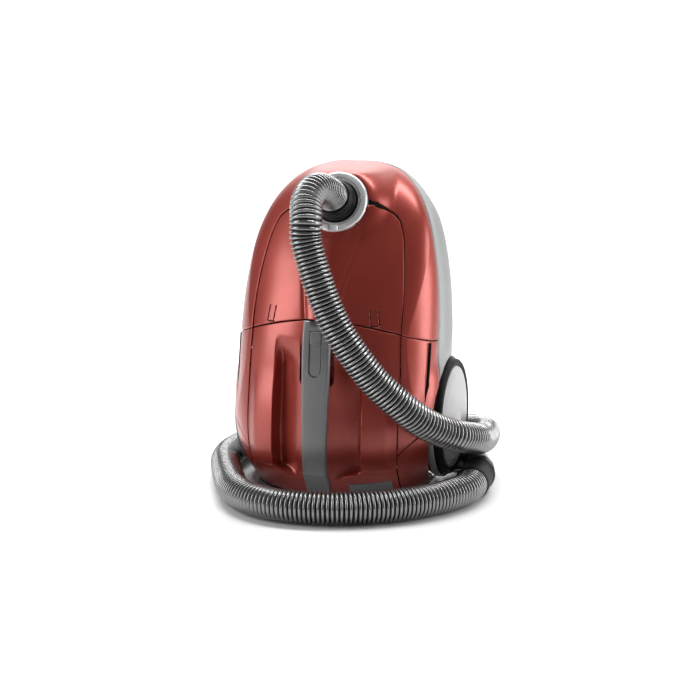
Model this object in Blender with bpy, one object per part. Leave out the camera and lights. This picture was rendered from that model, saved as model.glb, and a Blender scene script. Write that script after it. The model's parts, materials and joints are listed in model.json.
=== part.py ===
"""Canister vacuum cleaner standing upright on its rear end, parked, with its hose laid round it.

Frame: X to the right, Y to the back (the underside of the cleaner), Z up. The lid side faces -Y.
The origin is under the middle of the machine, on the floor that it stands on. Lengths are metres.
"""
import math

import bmesh
import bpy
import numpy as np
from mathutils import Matrix, Vector

for old in list(bpy.data.objects):
    bpy.data.objects.remove(old, do_unlink=True)

MM = 0.001

# ---- driving dimensions -------------------------------------------------------------------------
TOP = 420 * MM              # highest point of the shell
BASE = 6 * MM               # underside of the shells, above the feet
HALF_WIDTH = 134 * MM       # at the widest section
WIDEST = 150 * MM           # height of the widest section
MIDDLE_Y = -9.8 * MM        # brings the middle of the standing machine over the origin
WALL = 2.6 * MM             # shell thickness
SEAM = 1.2 * MM             # gap between neighbouring shells
CLEAR = 0.4 * MM            # gap between pieces that touch

LID_SEAM_Z = 232 * MM       # lower edge of the lid on the centre line
LID_SEAM_DROP = 32 * MM     # how much lower it is at the sides
LID_TOP = 368 * MM
LID_SWING_GAP = 2.4 * MM    # under the lid's lower edge, so that it can swing
HINGE_X = 70 * MM           # the two hinge arms, left and right
HINGE_Y = -66 * MM
HINGE_Z = 194 * MM
HINGE_ARM_LEAN = math.radians(7)
HINGE_ARM_SIZE = (8 * MM, 7 * MM, 52 * MM)
HINGE_ARM_MIDDLE = Vector((0, 4.2 * MM, 22 * MM))      # seen from its pin
HINGE_NOTCH_SIZE = (12 * MM, 20 * MM, 48 * MM)         # the room for it in the rear cover
HINGE_NOTCH_MIDDLE = Vector((0, 0, 21 * MM))
PIN_R = 2 * MM

INLET = Vector((0.002, -0.014, 0.373))   # middle of the silver ring
INLET_TILT = math.radians(24)
RING_R = 40.5 * MM
NECK_BLEND = 30 * MM        # width of the slope that carries the shell up to the ring
ROOF_BLEND = 12 * MM        # the slope dies out over this height below the top

CHAMFER_Z = 36 * MM         # below this the front slopes back towards the base
CHAMFER_SLOPE = 0.45

WHEEL_R = 76 * MM
WHEEL_X = 142 * MM          # outer face of the tyre
WHEEL_W = 14 * MM
WHEEL_Y = 50 * MM
WHEEL_Z = 90 * MM
WELL_X = WHEEL_X - WHEEL_W - 4 * MM
WELL_R = WHEEL_R + 2.6 * MM

CASTER_Z = 318 * MM
CASTER_R = 12.5 * MM
CASTER_W = 16 * MM
CASTER_TRAIL = 6 * MM       # how far the caster's axle lies behind its swivel axis

EXHAUST_Z = 142 * MM
OUTLET = Vector((0.074, 0.1, 0.205))

HANDLE_HALF = 19 * MM       # half the carry handle's width at its top
HANDLE_THICK = 5 * MM
SCOOP_DEPTH = 13 * MM
FINGER_GAP = 20 * MM
POWER_TRAVEL = 36 * MM
SLIDER_Z = 210 * MM         # the power slider's middle, at the top of its travel
PEDAL_TRAVEL = 4 * MM
PEDAL_INNER_X = 101 * MM    # the corner pedals reach from here outwards
PEDAL_HEIGHT = 61 * MM      # their height at that edge
PEDAL_SLOPE = 1.05          # how steeply their upper edge rises from there
KNOB = (15.4 * MM, 5.4 * MM, 16 * MM)                  # the power slider

HOSE_R = 20.2 * MM
HOSE_ROUTE = [  # centre line from the inlet cuff to the hose-end cuff, millimetres
    (2, -33.6, 381.8), (2, -50, 389), (0, -72, 395), (-3, -96, 394), (-4, -116, 381),
    (-0.5, -128, 360), (0.1, -130, 338.9), (6.2, -131, 316), (14.1, -132, 293.2),
    (25.6, -132, 261.8), (41.6, -130, 227.8), (62.1, -124, 194.4), (84.7, -114, 162.7),
    (112.1, -100, 132.8), (133.6, -82, 110.9), (152.5, -61, 95.7), (170.1, -38, 85.1),
    (182.4, 0, 74.3), (180.1, 42, 64.3), (176, 80, 58), (168, 117, 56), (142, 149, 51),
    (104, 165, 41), (56, 171, 29), (2, 172, 21), (-54, 170, 21), (-114, 150, 21), (-156, 107, 21),
    (-167, 52, 21), (-160, 2, 21), (-142, -44, 21), (-117, -96, 21), (-91, -144, 21),
    (-57, -178, 21), (-12, -194, 21), (40, -191, 21), (88, -173, 21), (130, -143, 21),
    (162, -104, 21), (181, -66, 21), (186.5, -40, 21.5), (185.5, -18, 22)]

HANDLE_ROUTE = [  # centre line of the handle tube behind the machine, after its straight start
    (174, 70, 19.5), (163, 95, 18), (139, 114, 18), (100, 123, 18), (40, 124, 18), (-60, 124, 18)]
HANDLE_STRAIGHT = 20 * MM
CUFF_LENGTH = 40 * MM
TUBE_R = 17 * MM            # the handle tube
SOCKET_R = 14 * MM          # the bore in its far end

# ---- the body's surfaces ------------------------------------------------------------------------


def smooth_line(points):
    """A smooth function through (at, value) points."""
    at = np.array([p[0] for p in points], float)
    value = np.array([p[1] for p in points], float)
    slope = np.gradient(value, at)

    def line(x):
        x = min(max(float(x), at[0]), at[-1])
        i = min(max(int(np.searchsorted(at, x)) - 1, 0), len(at) - 2)
        step = at[i + 1] - at[i]
        t = (x - at[i]) / step
        return float((2 * t**3 - 3 * t**2 + 1) * value[i] + (t**3 - 2 * t**2 + t) * step * slope[i]
                     + (3 * t**2 - 2 * t**3) * value[i + 1] + (t**3 - t**2) * step * slope[i + 1])
    return line


parting_mm = smooth_line([(6, 30), (30, 18), (60, 4), (95, -6), (130, -8), (170, -4), (220, 4),
                          (270, 13), (320, 24), (370, 44), (400, 62), (420, 80)])
back_mm = smooth_line([(6, 84), (40, 95), (100, 100), (300, 100), (350, 99), (380, 97),
                       (400, 94), (412, 90), (420, 82)])
crown = smooth_line([(6, 2.3), (75, 2.2), (150, 1.85), (236, 1.72), (420, 1.75)])
# the front profile runs over the square root of the depth below the top, which keeps the dome round
front_mm = smooth_line([(0, 80), (3.2, 38), (6.2, 4), (8.95, -26), (11.3, -57), (13.5, -83),
                        (17.1, -98), (18.9, -101), (20.4, -91)])
lid_half_mm = smooth_line([(190, 99), (236, 99), (306, 92.6), (340, 85), (356, 76), (365, 62),
                           (368, 54)])
cover_half_mm = smooth_line([(0, 96), (60, 100), (90, 101), (150, 101.6), (240, 99)])


def step01(value, low, high):
    t = min(max((value - low) / (high - low), 0), 1)
    return t * t * (3 - 2 * t)


def half_width(z):
    """Half the width of the body at the parting line."""
    if z > WIDEST:
        rise = min((z - WIDEST) / (TOP - WIDEST), 1)
        return HALF_WIDTH * (1 - rise**2.9)**(1 / 2.9)
    return HALF_WIDTH * (1 - 0.15 * ((WIDEST - z) / WIDEST)**3)


def parting(z):
    return parting_mm(z / MM) * MM


def front_profile(z):
    return front_mm(math.sqrt(max((TOP - z) / MM, 0))) * MM


def front(x, z):
    """The Y of the lid side's surface over a point of the front view, with the inlet's neck."""
    n = crown(z / MM)
    share = min(abs(x) / max(half_width(z), 1e-6), 1)
    plain = parting(z) - (parting(z) - front_profile(z)) * (1 - share**n)**(1 / n)
    plain += CHAMFER_SLOPE * max(CHAMFER_Z - z, 0)
    rise = (z - INLET.z) / math.cos(INLET_TILT)
    away = math.hypot(x - INLET.x, rise)
    neck = 1 - step01(away, RING_R, RING_R + NECK_BLEND)
    neck *= 1 - step01(z, TOP - ROOF_BLEND, TOP)
    ring_plane = INLET.y + (z - INLET.z) * math.tan(INLET_TILT)
    return plain + neck * (min(ring_plane, plain) - plain)


def lid_seam(x):
    return LID_SEAM_Z - LID_SEAM_DROP * (abs(x) / 0.132)**1.7


def scoop(x, z):
    """Depth of the finger hollows beside the carry handle, and of the gap under its top."""
    side = abs(x)
    across = step01(side, 0.020, 0.052) * (1 - step01(side, 0.055, 0.063))
    along = step01(z, 0.022, 0.050) * (1 - step01(z, 0.192, 0.222))
    hollow = SCOOP_DEPTH * across * along
    gap = (1 - step01(side, 0.040, 0.054)) * step01(z, 0.148, 0.160) * (1 - step01(z, 0.200, 0.218))
    return max(hollow, FINGER_GAP * gap)


# ---- mesh helpers -------------------------------------------------------------------------------

def material(name, color, roughness, metallic):
    made = bpy.data.materials.new(name)
    made.use_nodes = True
    shader = made.node_tree.nodes["Principled BSDF"]
    shader.inputs["Base Color"].default_value = (*color, 1)
    shader.inputs["Roughness"].default_value = roughness
    shader.inputs["Metallic"].default_value = metallic
    return made


LOOKS = {
    "red": ((0.35, 0.045, 0.03), 0.3, 0.35),
    "silver": ((0.62, 0.62, 0.62), 0.35, 0.3),
    "grey": ((0.3, 0.3, 0.31), 0.4, 0.3),
    "black": ((0.02, 0.02, 0.02), 0.35, 0.0),
    "rubber": ((0.025, 0.025, 0.025), 0.8, 0.0),
    "white": ((0.75, 0.75, 0.73), 0.5, 0.0),
    "paper": ((0.65, 0.58, 0.48), 0.9, 0.0),
    "foam": ((0.08, 0.08, 0.09), 0.95, 0.0),
    "steel": ((0.55, 0.55, 0.56), 0.3, 0.9),
    "copper": ((0.55, 0.25, 0.12), 0.35, 0.9),
    "board": ((0.05, 0.2, 0.08), 0.5, 0.0),
}


def finish(name, mesh, look):
    """Make the object of a sub-part, with its own material."""
    obj = bpy.data.objects.new(name, mesh)
    bpy.context.scene.collection.objects.link(obj)
    mesh.materials.append(material(name, *LOOKS[look]))
    mesh.shade_smooth()
    mesh.set_sharp_from_angle(angle=math.radians(35))
    return obj


def mesh_from(name, points, faces):
    mesh = bpy.data.meshes.new(name)
    bm = bmesh.new()
    verts = [bm.verts.new(p) for p in points]
    for face in faces:
        bm.faces.new([verts[i] for i in face])
    bmesh.ops.recalc_face_normals(bm, faces=bm.faces)
    bm.to_mesh(mesh)
    bm.free()
    return mesh


def grid_faces(rows, columns, close_columns=False):
    faces = []
    for r in range(rows - 1):
        for c in range(columns if close_columns else columns - 1):
            d = (c + 1) % columns
            faces.append((r * columns + c, r * columns + d, (r + 1) * columns + d,
                          (r + 1) * columns + c))
    return faces


def bar_faces(rings, around):
    """The skin of a bar made of rings of points, with its two ends."""
    faces = grid_faces(rings, around, True)
    faces.append(list(range(around)))
    faces.append(list(range((rings - 1) * around, rings * around)))
    return faces


def axis_matrix(at, direction):
    """A frame whose Z runs along direction, at a point."""
    turn = Vector(direction).to_track_quat("Z", "Y").to_matrix().to_4x4()
    return Matrix.Translation(at) @ turn


def turned(name, outline, at, direction, look, sides=32, hollow=True):
    """A (radius, height) outline turned round an axis through a point.

    The outline of a hollow piece is closed and leaves its middle free; a solid piece has flat ends.
    """
    count = len(outline)
    points = []
    for k in range(sides):
        angle = 2 * math.pi * k / sides
        points += [(r * math.cos(angle), r * math.sin(angle), h) for r, h in outline]
    faces = []
    for k in range(sides):
        a = k * count
        b = ((k + 1) % sides) * count
        for i in range(count if hollow else count - 1):
            j = (i + 1) % count
            faces.append((a + i, b + i, b + j, a + j))
    if not hollow:
        faces.append([k * count for k in range(sides)])
        faces.append([k * count + count - 1 for k in range(sides)])
    mesh = mesh_from(name, points, faces)
    mesh.transform(axis_matrix(at, direction))
    return finish(name, mesh, look)


def disc(name, radius, low, high, at, direction, look, sides=32, bevel=0.0):
    """A solid round piece from height low to high along its axis."""
    outline = [(radius, low), (radius, high)]
    if bevel:
        outline = [(radius - bevel, low), (radius, low + bevel), (radius, high - bevel),
                   (radius - bevel, high)]
    return turned(name, outline, at, direction, look, sides, hollow=False)


def block(name, size, at, look, bevel=0.002, turn=None):
    """A box with bevelled edges, its middle at a point."""
    mesh = bpy.data.meshes.new(name)
    bm = bmesh.new()
    bmesh.ops.create_cube(bm, size=1)
    bmesh.ops.scale(bm, vec=size, verts=bm.verts)
    if bevel:
        bmesh.ops.bevel(bm, geom=bm.edges, offset=bevel, segments=1, affect="EDGES")
    bm.to_mesh(mesh)
    bm.free()
    mesh.transform(Matrix.Translation(at) @ (turn or Matrix.Identity(4)))
    return finish(name, mesh, look)


def shell(name, points, rows, columns, look):
    """A sheet of points given a wall thickness inwards, as one closed body."""
    mesh = mesh_from(name, points, grid_faces(rows, columns))
    obj = finish(name, mesh, look)
    middle = Vector((0, 0.02, 0.2))
    face = mesh.polygons[len(mesh.polygons) // 2]
    if face.normal.dot(face.center - middle) < 0:
        mesh.flip_normals()
    solid = obj.modifiers.new("wall", "SOLIDIFY")
    solid.thickness = WALL
    solid.offset = -1
    return obj


def cut(obj, *cutters):
    """Take the cutters away from a piece."""
    for cutter in cutters:
        cutter.hide_render = True
        cutter.display_type = "WIRE"
        tool = obj.modifiers.new("cut", "BOOLEAN")
        tool.object = cutter


def patch(name, left, right, low, high, look, columns, rows, dent=None, edge_gap=SEAM):
    """A panel of the front surface between two side curves x(z) and two curves z(x)."""
    points = []
    for r in range(rows):
        v = r / (rows - 1)
        for c in range(columns):
            u = 0.5 - 0.5 * math.cos(math.pi * c / (columns - 1))
            z = low(0) + v * (high(0) - low(0))
            x = 0.0
            for _ in range(6):
                x = left(z) + u * (right(z) - left(z))
                z = low(x) + v * (high(x) - low(x))
            y = min(front(x, z), parting(z) - edge_gap)
            if dent:
                y += dent(x, z)
            points.append((x, y, z))
    return shell(name, points, rows, columns, look)


def merged(obj, *others):
    """Union of closed pieces that are moulded as one."""
    for other in others:
        other.hide_render = True
        other.display_type = "WIRE"
        tool = obj.modifiers.new("join", "BOOLEAN")
        tool.operation = "UNION"
        tool.object = other
    return obj


INLET_AXIS = Vector((0, -math.cos(INLET_TILT), math.sin(INLET_TILT)))
BACK = Vector((0, 1, 0))
RIGHT = Vector((1, 0, 0))
UP = Vector((0, 0, 1))

# ---- casing -------------------------------------------------------------------------------------


def lower_casing():
    """The silver-grey bottom shell, from the parting line round the back."""
    heights = [BASE, 0.02, 0.045, 0.08, 0.12, 0.16, 0.2, 0.24, 0.28, 0.315, 0.345, 0.37, 0.388,
               0.4, 0.409, 0.4155, 0.4188, 0.4198]
    columns = 25
    power = 2 / 5
    points = []
    for z in heights:
        for c in range(columns):
            angle = math.pi * c / (columns - 1)
            side = math.copysign(abs(math.cos(angle))**power, math.cos(angle))
            depth = abs(math.sin(angle))**power
            back = back_mm(z / MM) * MM
            points.append((half_width(z) * side, parting(z) + (back - parting(z)) * depth, z))
    obj = shell("lower_casing", points, len(heights), columns, "silver")
    holes = [well_cutter(side, -0.8 * MM) for side in (-1, 1)]
    wells = [wheel_well(side) for side in (-1, 1)]
    grille = block("grille_cutter", (0.104, 0.03, 0.064), (0, 0.098, EXHAUST_Z), "silver", 0)
    outlet = disc("outlet_cutter", 9.5 * MM, -0.02, 0.02, OUTLET, BACK, "silver", 24)
    stem = disc("caster_cutter", 0.0155, -0.02, 0.02, (0, 0.098, CASTER_Z), BACK, "silver")
    cut(obj, *holes, grille, stem, outlet)
    merged(obj, *wells)


def well_cutter(side, gap):
    """The round hole in the flank that a wheel well sits in."""
    at = (side * (WELL_X - 2.4 * MM - CLEAR), WHEEL_Y, WHEEL_Z)
    return disc("wheel_well_cutter", WELL_R + gap, 0, 0.06, at, RIGHT * side, "silver", 40)


def wheel_well(side):
    """The cup moulded in the casing's flank, which a rear wheel turns in."""
    profile = [(7 * MM, -2.4 * MM), (WELL_R, -2.4 * MM), (WELL_R, 3 * MM),
               (WELL_R - 1.6 * MM, 3 * MM), (WELL_R - 1.6 * MM, 0), (7 * MM, 0)]
    cup = turned("wheel_well", profile, (side * WELL_X, WHEEL_Y, WHEEL_Z), RIGHT * side, "silver",
                 40)
    behind = 0.05
    cut(cup, block("well_trim", (0.1, behind, 0.2), (side * WELL_X, 0.098 + behind / 2, WHEEL_Z),
                   "silver", 0))
    return cup


def base_plate():
    """The rear end wall that closes the shells and stands on the feet."""
    points = []
    count = 48
    z = BASE
    share = 0.97
    for height in (BASE - 3 * MM, BASE - CLEAR):
        for k in range(count):
            angle = 2 * math.pi * k / count
            if math.sin(angle) > 0:
                n = 5.0
                depth = (back_mm(z / MM) * MM - parting(z)) * share
            else:
                n = 2.3
                depth = (parting(z) - front(0, z)) * share
            reach = half_width(z) * share
            x = reach * math.copysign(abs(math.cos(angle))**(2 / n), math.cos(angle))
            y = parting(z) + depth * math.copysign(abs(math.sin(angle))**(2 / n), math.sin(angle))
            points.append((x, y, height))
    return finish("base_plate", mesh_from("base_plate", points, bar_faces(2, count)), "black")


def upper_frame():
    """The red arch round the lid, down to the lid's hinge line."""
    centre_z = 0.236
    columns = 40
    rows = 8
    start = math.radians(-20)
    points = []

    def reach(angle, inside):
        """Distance from the middle to a closed outline, found by halving."""
        near, far = 0.0, 0.3
        for _ in range(40):
            r = (near + far) / 2
            if inside(r * math.cos(angle), centre_z + r * math.sin(angle)):
                near = r
            else:
                far = r
        return near

    def in_lid(x, z):
        return z < LID_TOP + SEAM and abs(x) < lid_half_mm(z / MM) * MM + SEAM

    def in_body(x, z):
        return z < TOP and abs(x) < half_width(z)

    for c in range(columns):
        angle = start + (math.pi - 2 * start) * c / (columns - 1)
        inner = reach(angle, in_lid)
        outer = reach(angle, in_body)
        for r in range(rows):
            share = math.sin(math.pi / 2 * r / (rows - 1))
            d = inner + (outer - inner) * share
            x = d * math.cos(angle)
            z = centre_z + d * math.sin(angle)
            points.append((x, min(front(x, z), parting(z) - SEAM), z))
    obj = shell("upper_frame", points, columns, rows, "red")
    below = hinge_line_cutter()
    ring = disc("ring_frame_cutter", RING_R + 1.6 * MM, -0.08, 0.06, INLET, INLET_AXIS, "red", 48)
    cut(obj, below, ring)
    return obj


def hinge_line_cutter():
    """Everything below the horizontal seam, as a prism through the body."""
    steps = 16
    top = [(-0.2 + 0.4 * k / steps) for k in range(steps + 1)]
    outline = [(x, lid_seam(min(abs(x), 0.14)) + SEAM / 2) for x in top]
    outline += [(0.2, 0.1), (-0.2, 0.1)]
    count = len(outline)
    points = [(x, -0.2, z) for x, z in outline] + [(x, 0.2, z) for x, z in outline]
    mesh = mesh_from("hinge_line_cutter", points, bar_faces(2, count))
    return finish("hinge_line_cutter", mesh, "red")


def lid():
    """The dust-compartment lid, which carries the inlet."""
    def half(z):
        return lid_half_mm(z / MM) * MM
    obj = patch("lid", lambda z: -half(z), half, lambda x: lid_seam(x) + LID_SWING_GAP,
                lambda x: LID_TOP - SEAM, "red", 23, 14)
    cut(obj, disc("ring_lid_cutter", RING_R + CLEAR, -0.05, 0.06, INLET, INLET_AXIS, "red", 48))
    merged(obj, hinge_arm(-1), hinge_arm(1))


def diagonal(x):
    """Upper edge of the corner pedals, rising towards the outside."""
    return PEDAL_HEIGHT + PEDAL_SLOPE * (abs(x) - PEDAL_INNER_X)


def rear_cover():
    """The red cover over the motor and the cord reel, with its finger hollows."""
    def half(z):
        return cover_half_mm(z / MM) * MM - SEAM
    obj = patch("rear_cover", lambda z: -half(z), half, lambda x: BASE,
                lambda x: lid_seam(x) - SEAM / 2, "red", 31, 18, scoop)
    for side in (-1, 1):
        at = Vector((side * HINGE_X, HINGE_Y, HINGE_Z)) + HINGE_NOTCH_MIDDLE
        cut(obj, block("hinge_notch_cutter", HINGE_NOTCH_SIZE, at, "red", 0))


def side_panel(name, side):
    """The red flank between the rear cover and the parting line."""
    def inner(z):
        return side * cover_half_mm(z / MM) * MM

    def outer(z):
        return side * half_width(z)
    obj = patch(name, inner, outer, lambda x: diagonal(x) + SEAM,
                lambda x: lid_seam(x) - SEAM / 2, "red", 8, 14)
    cut(obj, well_cutter(side, 0.5 * MM))


def pedal(name, side):
    """A corner block pressed by the foot."""
    def inner(z):
        return side * (cover_half_mm(z / MM) * MM)

    def outer(z):
        return side * half_width(z)
    obj = patch(name, inner, outer, lambda x: BASE + 1 * MM, diagonal, "red", 8, 7,
                edge_gap=PEDAL_TRAVEL + SEAM)
    cut(obj, well_cutter(side, PEDAL_TRAVEL + 1.5 * MM))


def carry_handle():
    """The grey strip down the middle of the rear cover, free of it over the finger gap."""
    rows = 26
    columns = 5
    low = 10 * MM
    high = LID_SEAM_Z - 5 * MM
    ring = []
    for r in range(rows):
        z = low + (high - low) * r / (rows - 1)
        half = HANDLE_HALF - 2.5 * MM * (1 - step01(z, 0.05, 0.2))
        outside = front(0, z) - HANDLE_THICK
        for c in range(columns):
            x = half * (2 * c / (columns - 1) - 1)
            ring.append((x, front(x, z) - CLEAR, z))
        ring += [(half, outside + 1.5 * MM, z), (half - 2 * MM, outside, z),
                 (2 * MM - half, outside, z), (-half, outside + 1.5 * MM, z)]
    mesh = mesh_from("carry_handle", ring, bar_faces(rows, columns + 4))
    obj = finish("carry_handle", mesh, "grey")
    z = SLIDER_Z - POWER_TRAVEL / 2
    size = (KNOB[0] + 1 * MM, 16 * MM, KNOB[2] + POWER_TRAVEL + 2 * MM)
    cut(obj, block("slot_cutter", size, (0, front_profile(z) - HANDLE_THICK, z), "grey", 0))
    return obj


def power_slider():
    """The knob that sets the suction power, at the top of its slot in the handle."""
    y = front_profile(SLIDER_Z) - HANDLE_THICK
    block("power_slider", KNOB, (0, y + 0.6 * MM, SLIDER_Z), "grey", 1 * MM)


# ---- inlet --------------------------------------------------------------------------------------

def inlet_pieces():
    """Silver ring on the lid, its seal, and the black swivel cuff that holds the hose."""
    turned("inlet_ring", [(27.5 * MM, -9 * MM), (RING_R, -9 * MM), (RING_R, 3 * MM),
                          (RING_R - 2.5 * MM, 5.5 * MM), (29 * MM, 4.5 * MM), (27.5 * MM, 3 * MM)],
           INLET, INLET_AXIS, "silver", 48)
    turned("inlet_seal", [(19.5 * MM, -13 * MM), (30 * MM, -13 * MM), (30 * MM, -9.4 * MM),
                          (19.5 * MM, -9.4 * MM)], INLET, INLET_AXIS, "rubber", 40)
    turned("inlet_cuff", [(16.5 * MM, -9 * MM), (26.8 * MM, -9 * MM), (26.8 * MM, 6 * MM),
                          (23.5 * MM, 10 * MM), (23.5 * MM, 18 * MM), (21.5 * MM, 21 * MM),
                          (16.5 * MM, 21 * MM)], INLET, INLET_AXIS, "black", 40)
    turned("bag_collar", [(17 * MM, -20 * MM), (33 * MM, -20 * MM), (33 * MM, -17.5 * MM),
                          (17 * MM, -17.5 * MM)], INLET, INLET_AXIS, "paper", 32)


def hinge_arm(side):
    """An arm moulded inside the lid, with the bore that it turns on."""
    at = Vector((side * HINGE_X, HINGE_Y, HINGE_Z))
    lean = Matrix.Rotation(-HINGE_ARM_LEAN, 4, "X")
    arm = block("hinge_arm", HINGE_ARM_SIZE, at + HINGE_ARM_MIDDLE, "red", 1 * MM, lean)
    cut(arm, disc("pin_cutter", PIN_R + CLEAR, -0.02, 0.02, at, RIGHT, "red", 16))
    return arm


def hinge_pin(label, side):
    at = (side * HINGE_X, HINGE_Y, HINGE_Z)
    half = HINGE_ARM_SIZE[0] / 2 + 1.6 * MM
    disc(label + "_hinge_pin", PIN_R, -half, half, at, RIGHT, "steel", 16)


def lid_latch():
    """The catch under the lid's upper edge, beside the ring."""
    at = Vector((0.045, 0.012, 0.356))
    block("lid_latch", (14 * MM, 6 * MM, 10 * MM), at, "black", 1 * MM)


# ---- wheels -------------------------------------------------------------------------------------

def rear_wheel(label, side):
    """Rim, tyre, cap and axle of one big rear wheel."""
    at = Vector((side * WHEEL_X, WHEEL_Y, WHEEL_Z))
    out = RIGHT * side
    turned(label + "_wheel_rim", [(6.4 * MM, -WHEEL_W), (WHEEL_R - 5 * MM, -WHEEL_W),
                                  (WHEEL_R - 5 * MM, -1 * MM), (WHEEL_R - 8 * MM, -1 * MM),
                                  (WHEEL_R - 8 * MM, -5 * MM), (6.4 * MM, -5 * MM)],
           at, out, "black", 48)
    turned(label + "_tyre", [(WHEEL_R - 4.6 * MM, -WHEEL_W), (WHEEL_R - 2 * MM, -WHEEL_W),
                             (WHEEL_R, -WHEEL_W + 3 * MM), (WHEEL_R, -5 * MM),
                             (WHEEL_R - 3 * MM, -1 * MM), (WHEEL_R - 4.6 * MM, -1 * MM)],
           at, out, "rubber", 48)
    turned(label + "_wheel_cap", [(WHEEL_R - 8.4 * MM, -4.6 * MM), (WHEEL_R - 8.4 * MM, -1.6 * MM),
                                  (WHEEL_R - 20 * MM, 0.6 * MM), (WHEEL_R * 0.4, 2.2 * MM),
                                  (0.1 * MM, 3 * MM)],
           at, out, "silver", 48, hollow=False)
    disc(label + "_axle", 6 * MM, -34 * MM, -5.2 * MM, at, out, "steel", 20)


def caster():
    """The swivelling front wheel, on the underside near the front of the cleaner."""
    face = back_mm(CASTER_Z / MM) * MM
    post = disc("caster_fork", 14.5 * MM, -4 * MM, 6 * MM, (0, face, CASTER_Z), BACK, "black", 28,
                1 * MM)
    axle_y = face + CASTER_R + 0.8 * MM
    axle = (0, axle_y, CASTER_Z - CASTER_TRAIL)
    arms = []
    for side in (-1, 1):
        arms.append(block("caster_arm", (2.6 * MM, 14 * MM, 12 * MM),
                          (side * (CASTER_W / 2 + 2 * MM), face + 9 * MM, CASTER_Z - CASTER_TRAIL),
                          "black", 0.8 * MM))
    merged(post, *arms)
    recess = disc("caster_recess", CASTER_R + 1.2 * MM, -CASTER_W / 2 - 0.6 * MM,
                  CASTER_W / 2 + 0.6 * MM, axle, RIGHT, "black", 28)
    pin = 1.9 * MM
    cut(post, recess, disc("caster_bore", pin + CLEAR, -0.03, 0.03, axle, RIGHT, "black", 16))
    half = CASTER_W / 2
    wheel = disc("caster_wheel", CASTER_R, -half, half, axle, RIGHT, "rubber", 32, 1.5 * MM)
    cut(wheel, disc("caster_hole", pin + CLEAR, -0.03, 0.03, axle, RIGHT, "rubber", 16))
    disc("caster_axle", pin, -half - 3 * MM, half + 3 * MM, axle, RIGHT, "steel", 16)


def feet():
    """Four rubber feet that the parked cleaner stands on."""
    places = {"front_left": (-0.062, -0.052), "front_right": (0.062, -0.052),
              "back_left": (-0.078, 0.066), "back_right": (0.078, 0.066)}
    for place, (x, y) in places.items():
        disc("foot_" + place, 11 * MM, 0, BASE - 3.4 * MM, (x, y, 0), UP, "rubber", 24, 0.6 * MM)


# ---- inside -------------------------------------------------------------------------------------

MOTOR_AT = Vector((-0.048, 0.025, 0))
REEL_AT = Vector((0.071, 0.008, 0.104))
REEL_W = 44 * MM
REEL_R = 60 * MM
BULKHEAD_Z = 176 * MM


def motor_pieces():
    """Suction motor, standing on its mount below the bulkhead."""
    low = 50 * MM
    high = 150 * MM
    shaft = 4 * MM
    hub = shaft + CLEAR
    disc("motor_mount", 40 * MM, low - 8 * MM, low, MOTOR_AT, UP, "rubber", 32, 1 * MM)
    turned("motor_housing", [(46 * MM, low + CLEAR), (49 * MM, low + CLEAR), (49 * MM, high),
                             (46 * MM, high)], MOTOR_AT, UP, "black", 40)
    turned("stator", [(24 * MM, 66 * MM), (44 * MM, 66 * MM), (44 * MM, 112 * MM),
                      (24 * MM, 112 * MM)], MOTOR_AT, UP, "copper", 32)
    turned("rotor", [(hub, 62 * MM), (21 * MM, 62 * MM), (21 * MM, 116 * MM), (hub, 116 * MM)],
           MOTOR_AT, UP, "copper", 28)
    disc("motor_shaft", shaft, low + 0.5 * MM, high - 4 * MM, MOTOR_AT, UP, "steel", 16)
    turned("fan_impeller", [(hub, 124 * MM), (43 * MM, 124 * MM), (43 * MM, 132 * MM),
                            (30 * MM, 140 * MM), (hub, 140 * MM)], MOTOR_AT, UP, "steel", 36)
    turned("motor_seal", [(20 * MM, high + CLEAR), (47 * MM, high + CLEAR),
                          (47 * MM, high + 6.4 * MM), (20 * MM, high + 6.4 * MM)],
           MOTOR_AT, UP, "rubber", 32)


def reel_pieces():
    """Cord reel with its wound cord, axle, spring and brake lever."""
    half = REEL_W / 2
    flange = half - 2 * MM
    drum_r = 20 * MM
    cord = flange - CLEAR
    turned("cord_reel", [(6.5 * MM, -half), (REEL_R, -half), (REEL_R, -flange), (drum_r, -flange),
                         (drum_r, flange), (REEL_R, flange), (REEL_R, half), (6.5 * MM, half)],
           REEL_AT, RIGHT, "white", 40)
    turned("wound_cord", [(drum_r + CLEAR, -cord), (REEL_R - 6 * MM, -cord),
                          (REEL_R - 6 * MM, cord), (drum_r + CLEAR, cord)],
           REEL_AT, RIGHT, "black", 36)
    disc("reel_axle", 6 * MM, -half - 3 * MM, half + 4 * MM, REEL_AT, RIGHT, "steel", 20)
    turned("reel_spring", [(10 * MM, -half - 8 * MM), (30 * MM, -half - 8 * MM),
                           (30 * MM, -half - 0.6 * MM), (10 * MM, -half - 0.6 * MM)],
           REEL_AT, RIGHT, "steel", 28)
    beside = Vector((-4 * MM, REEL_R + 4.5 * MM, -30 * MM))
    block("reel_brake", (7 * MM, 10 * MM, 30 * MM), REEL_AT + beside, "black", 1 * MM)


def bulkhead_pieces():
    """Wall between the dust compartment and the motor, with its filter."""
    wall = block("bulkhead", (212 * MM, 116 * MM, 3 * MM), (0, 28 * MM, BULKHEAD_Z), "grey", 0)
    hole = disc("bulkhead_cutter", 28 * MM, BULKHEAD_Z - 16 * MM, BULKHEAD_Z + 14 * MM, MOTOR_AT,
                UP, "grey", 28)
    cut(wall, hole)
    above = MOTOR_AT + UP * BULKHEAD_Z
    block("motor_filter", (90 * MM, 90 * MM, 5 * MM), above + UP * 4.6 * MM, "foam", 1 * MM)
    frame_at = above + UP * 9 * MM
    frame = block("filter_frame", (100 * MM, 100 * MM, 3 * MM), frame_at, "grey", 0)
    cut(frame, block("filter_window", (80 * MM, 80 * MM, 20 * MM), frame_at, "grey", 0))


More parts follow.
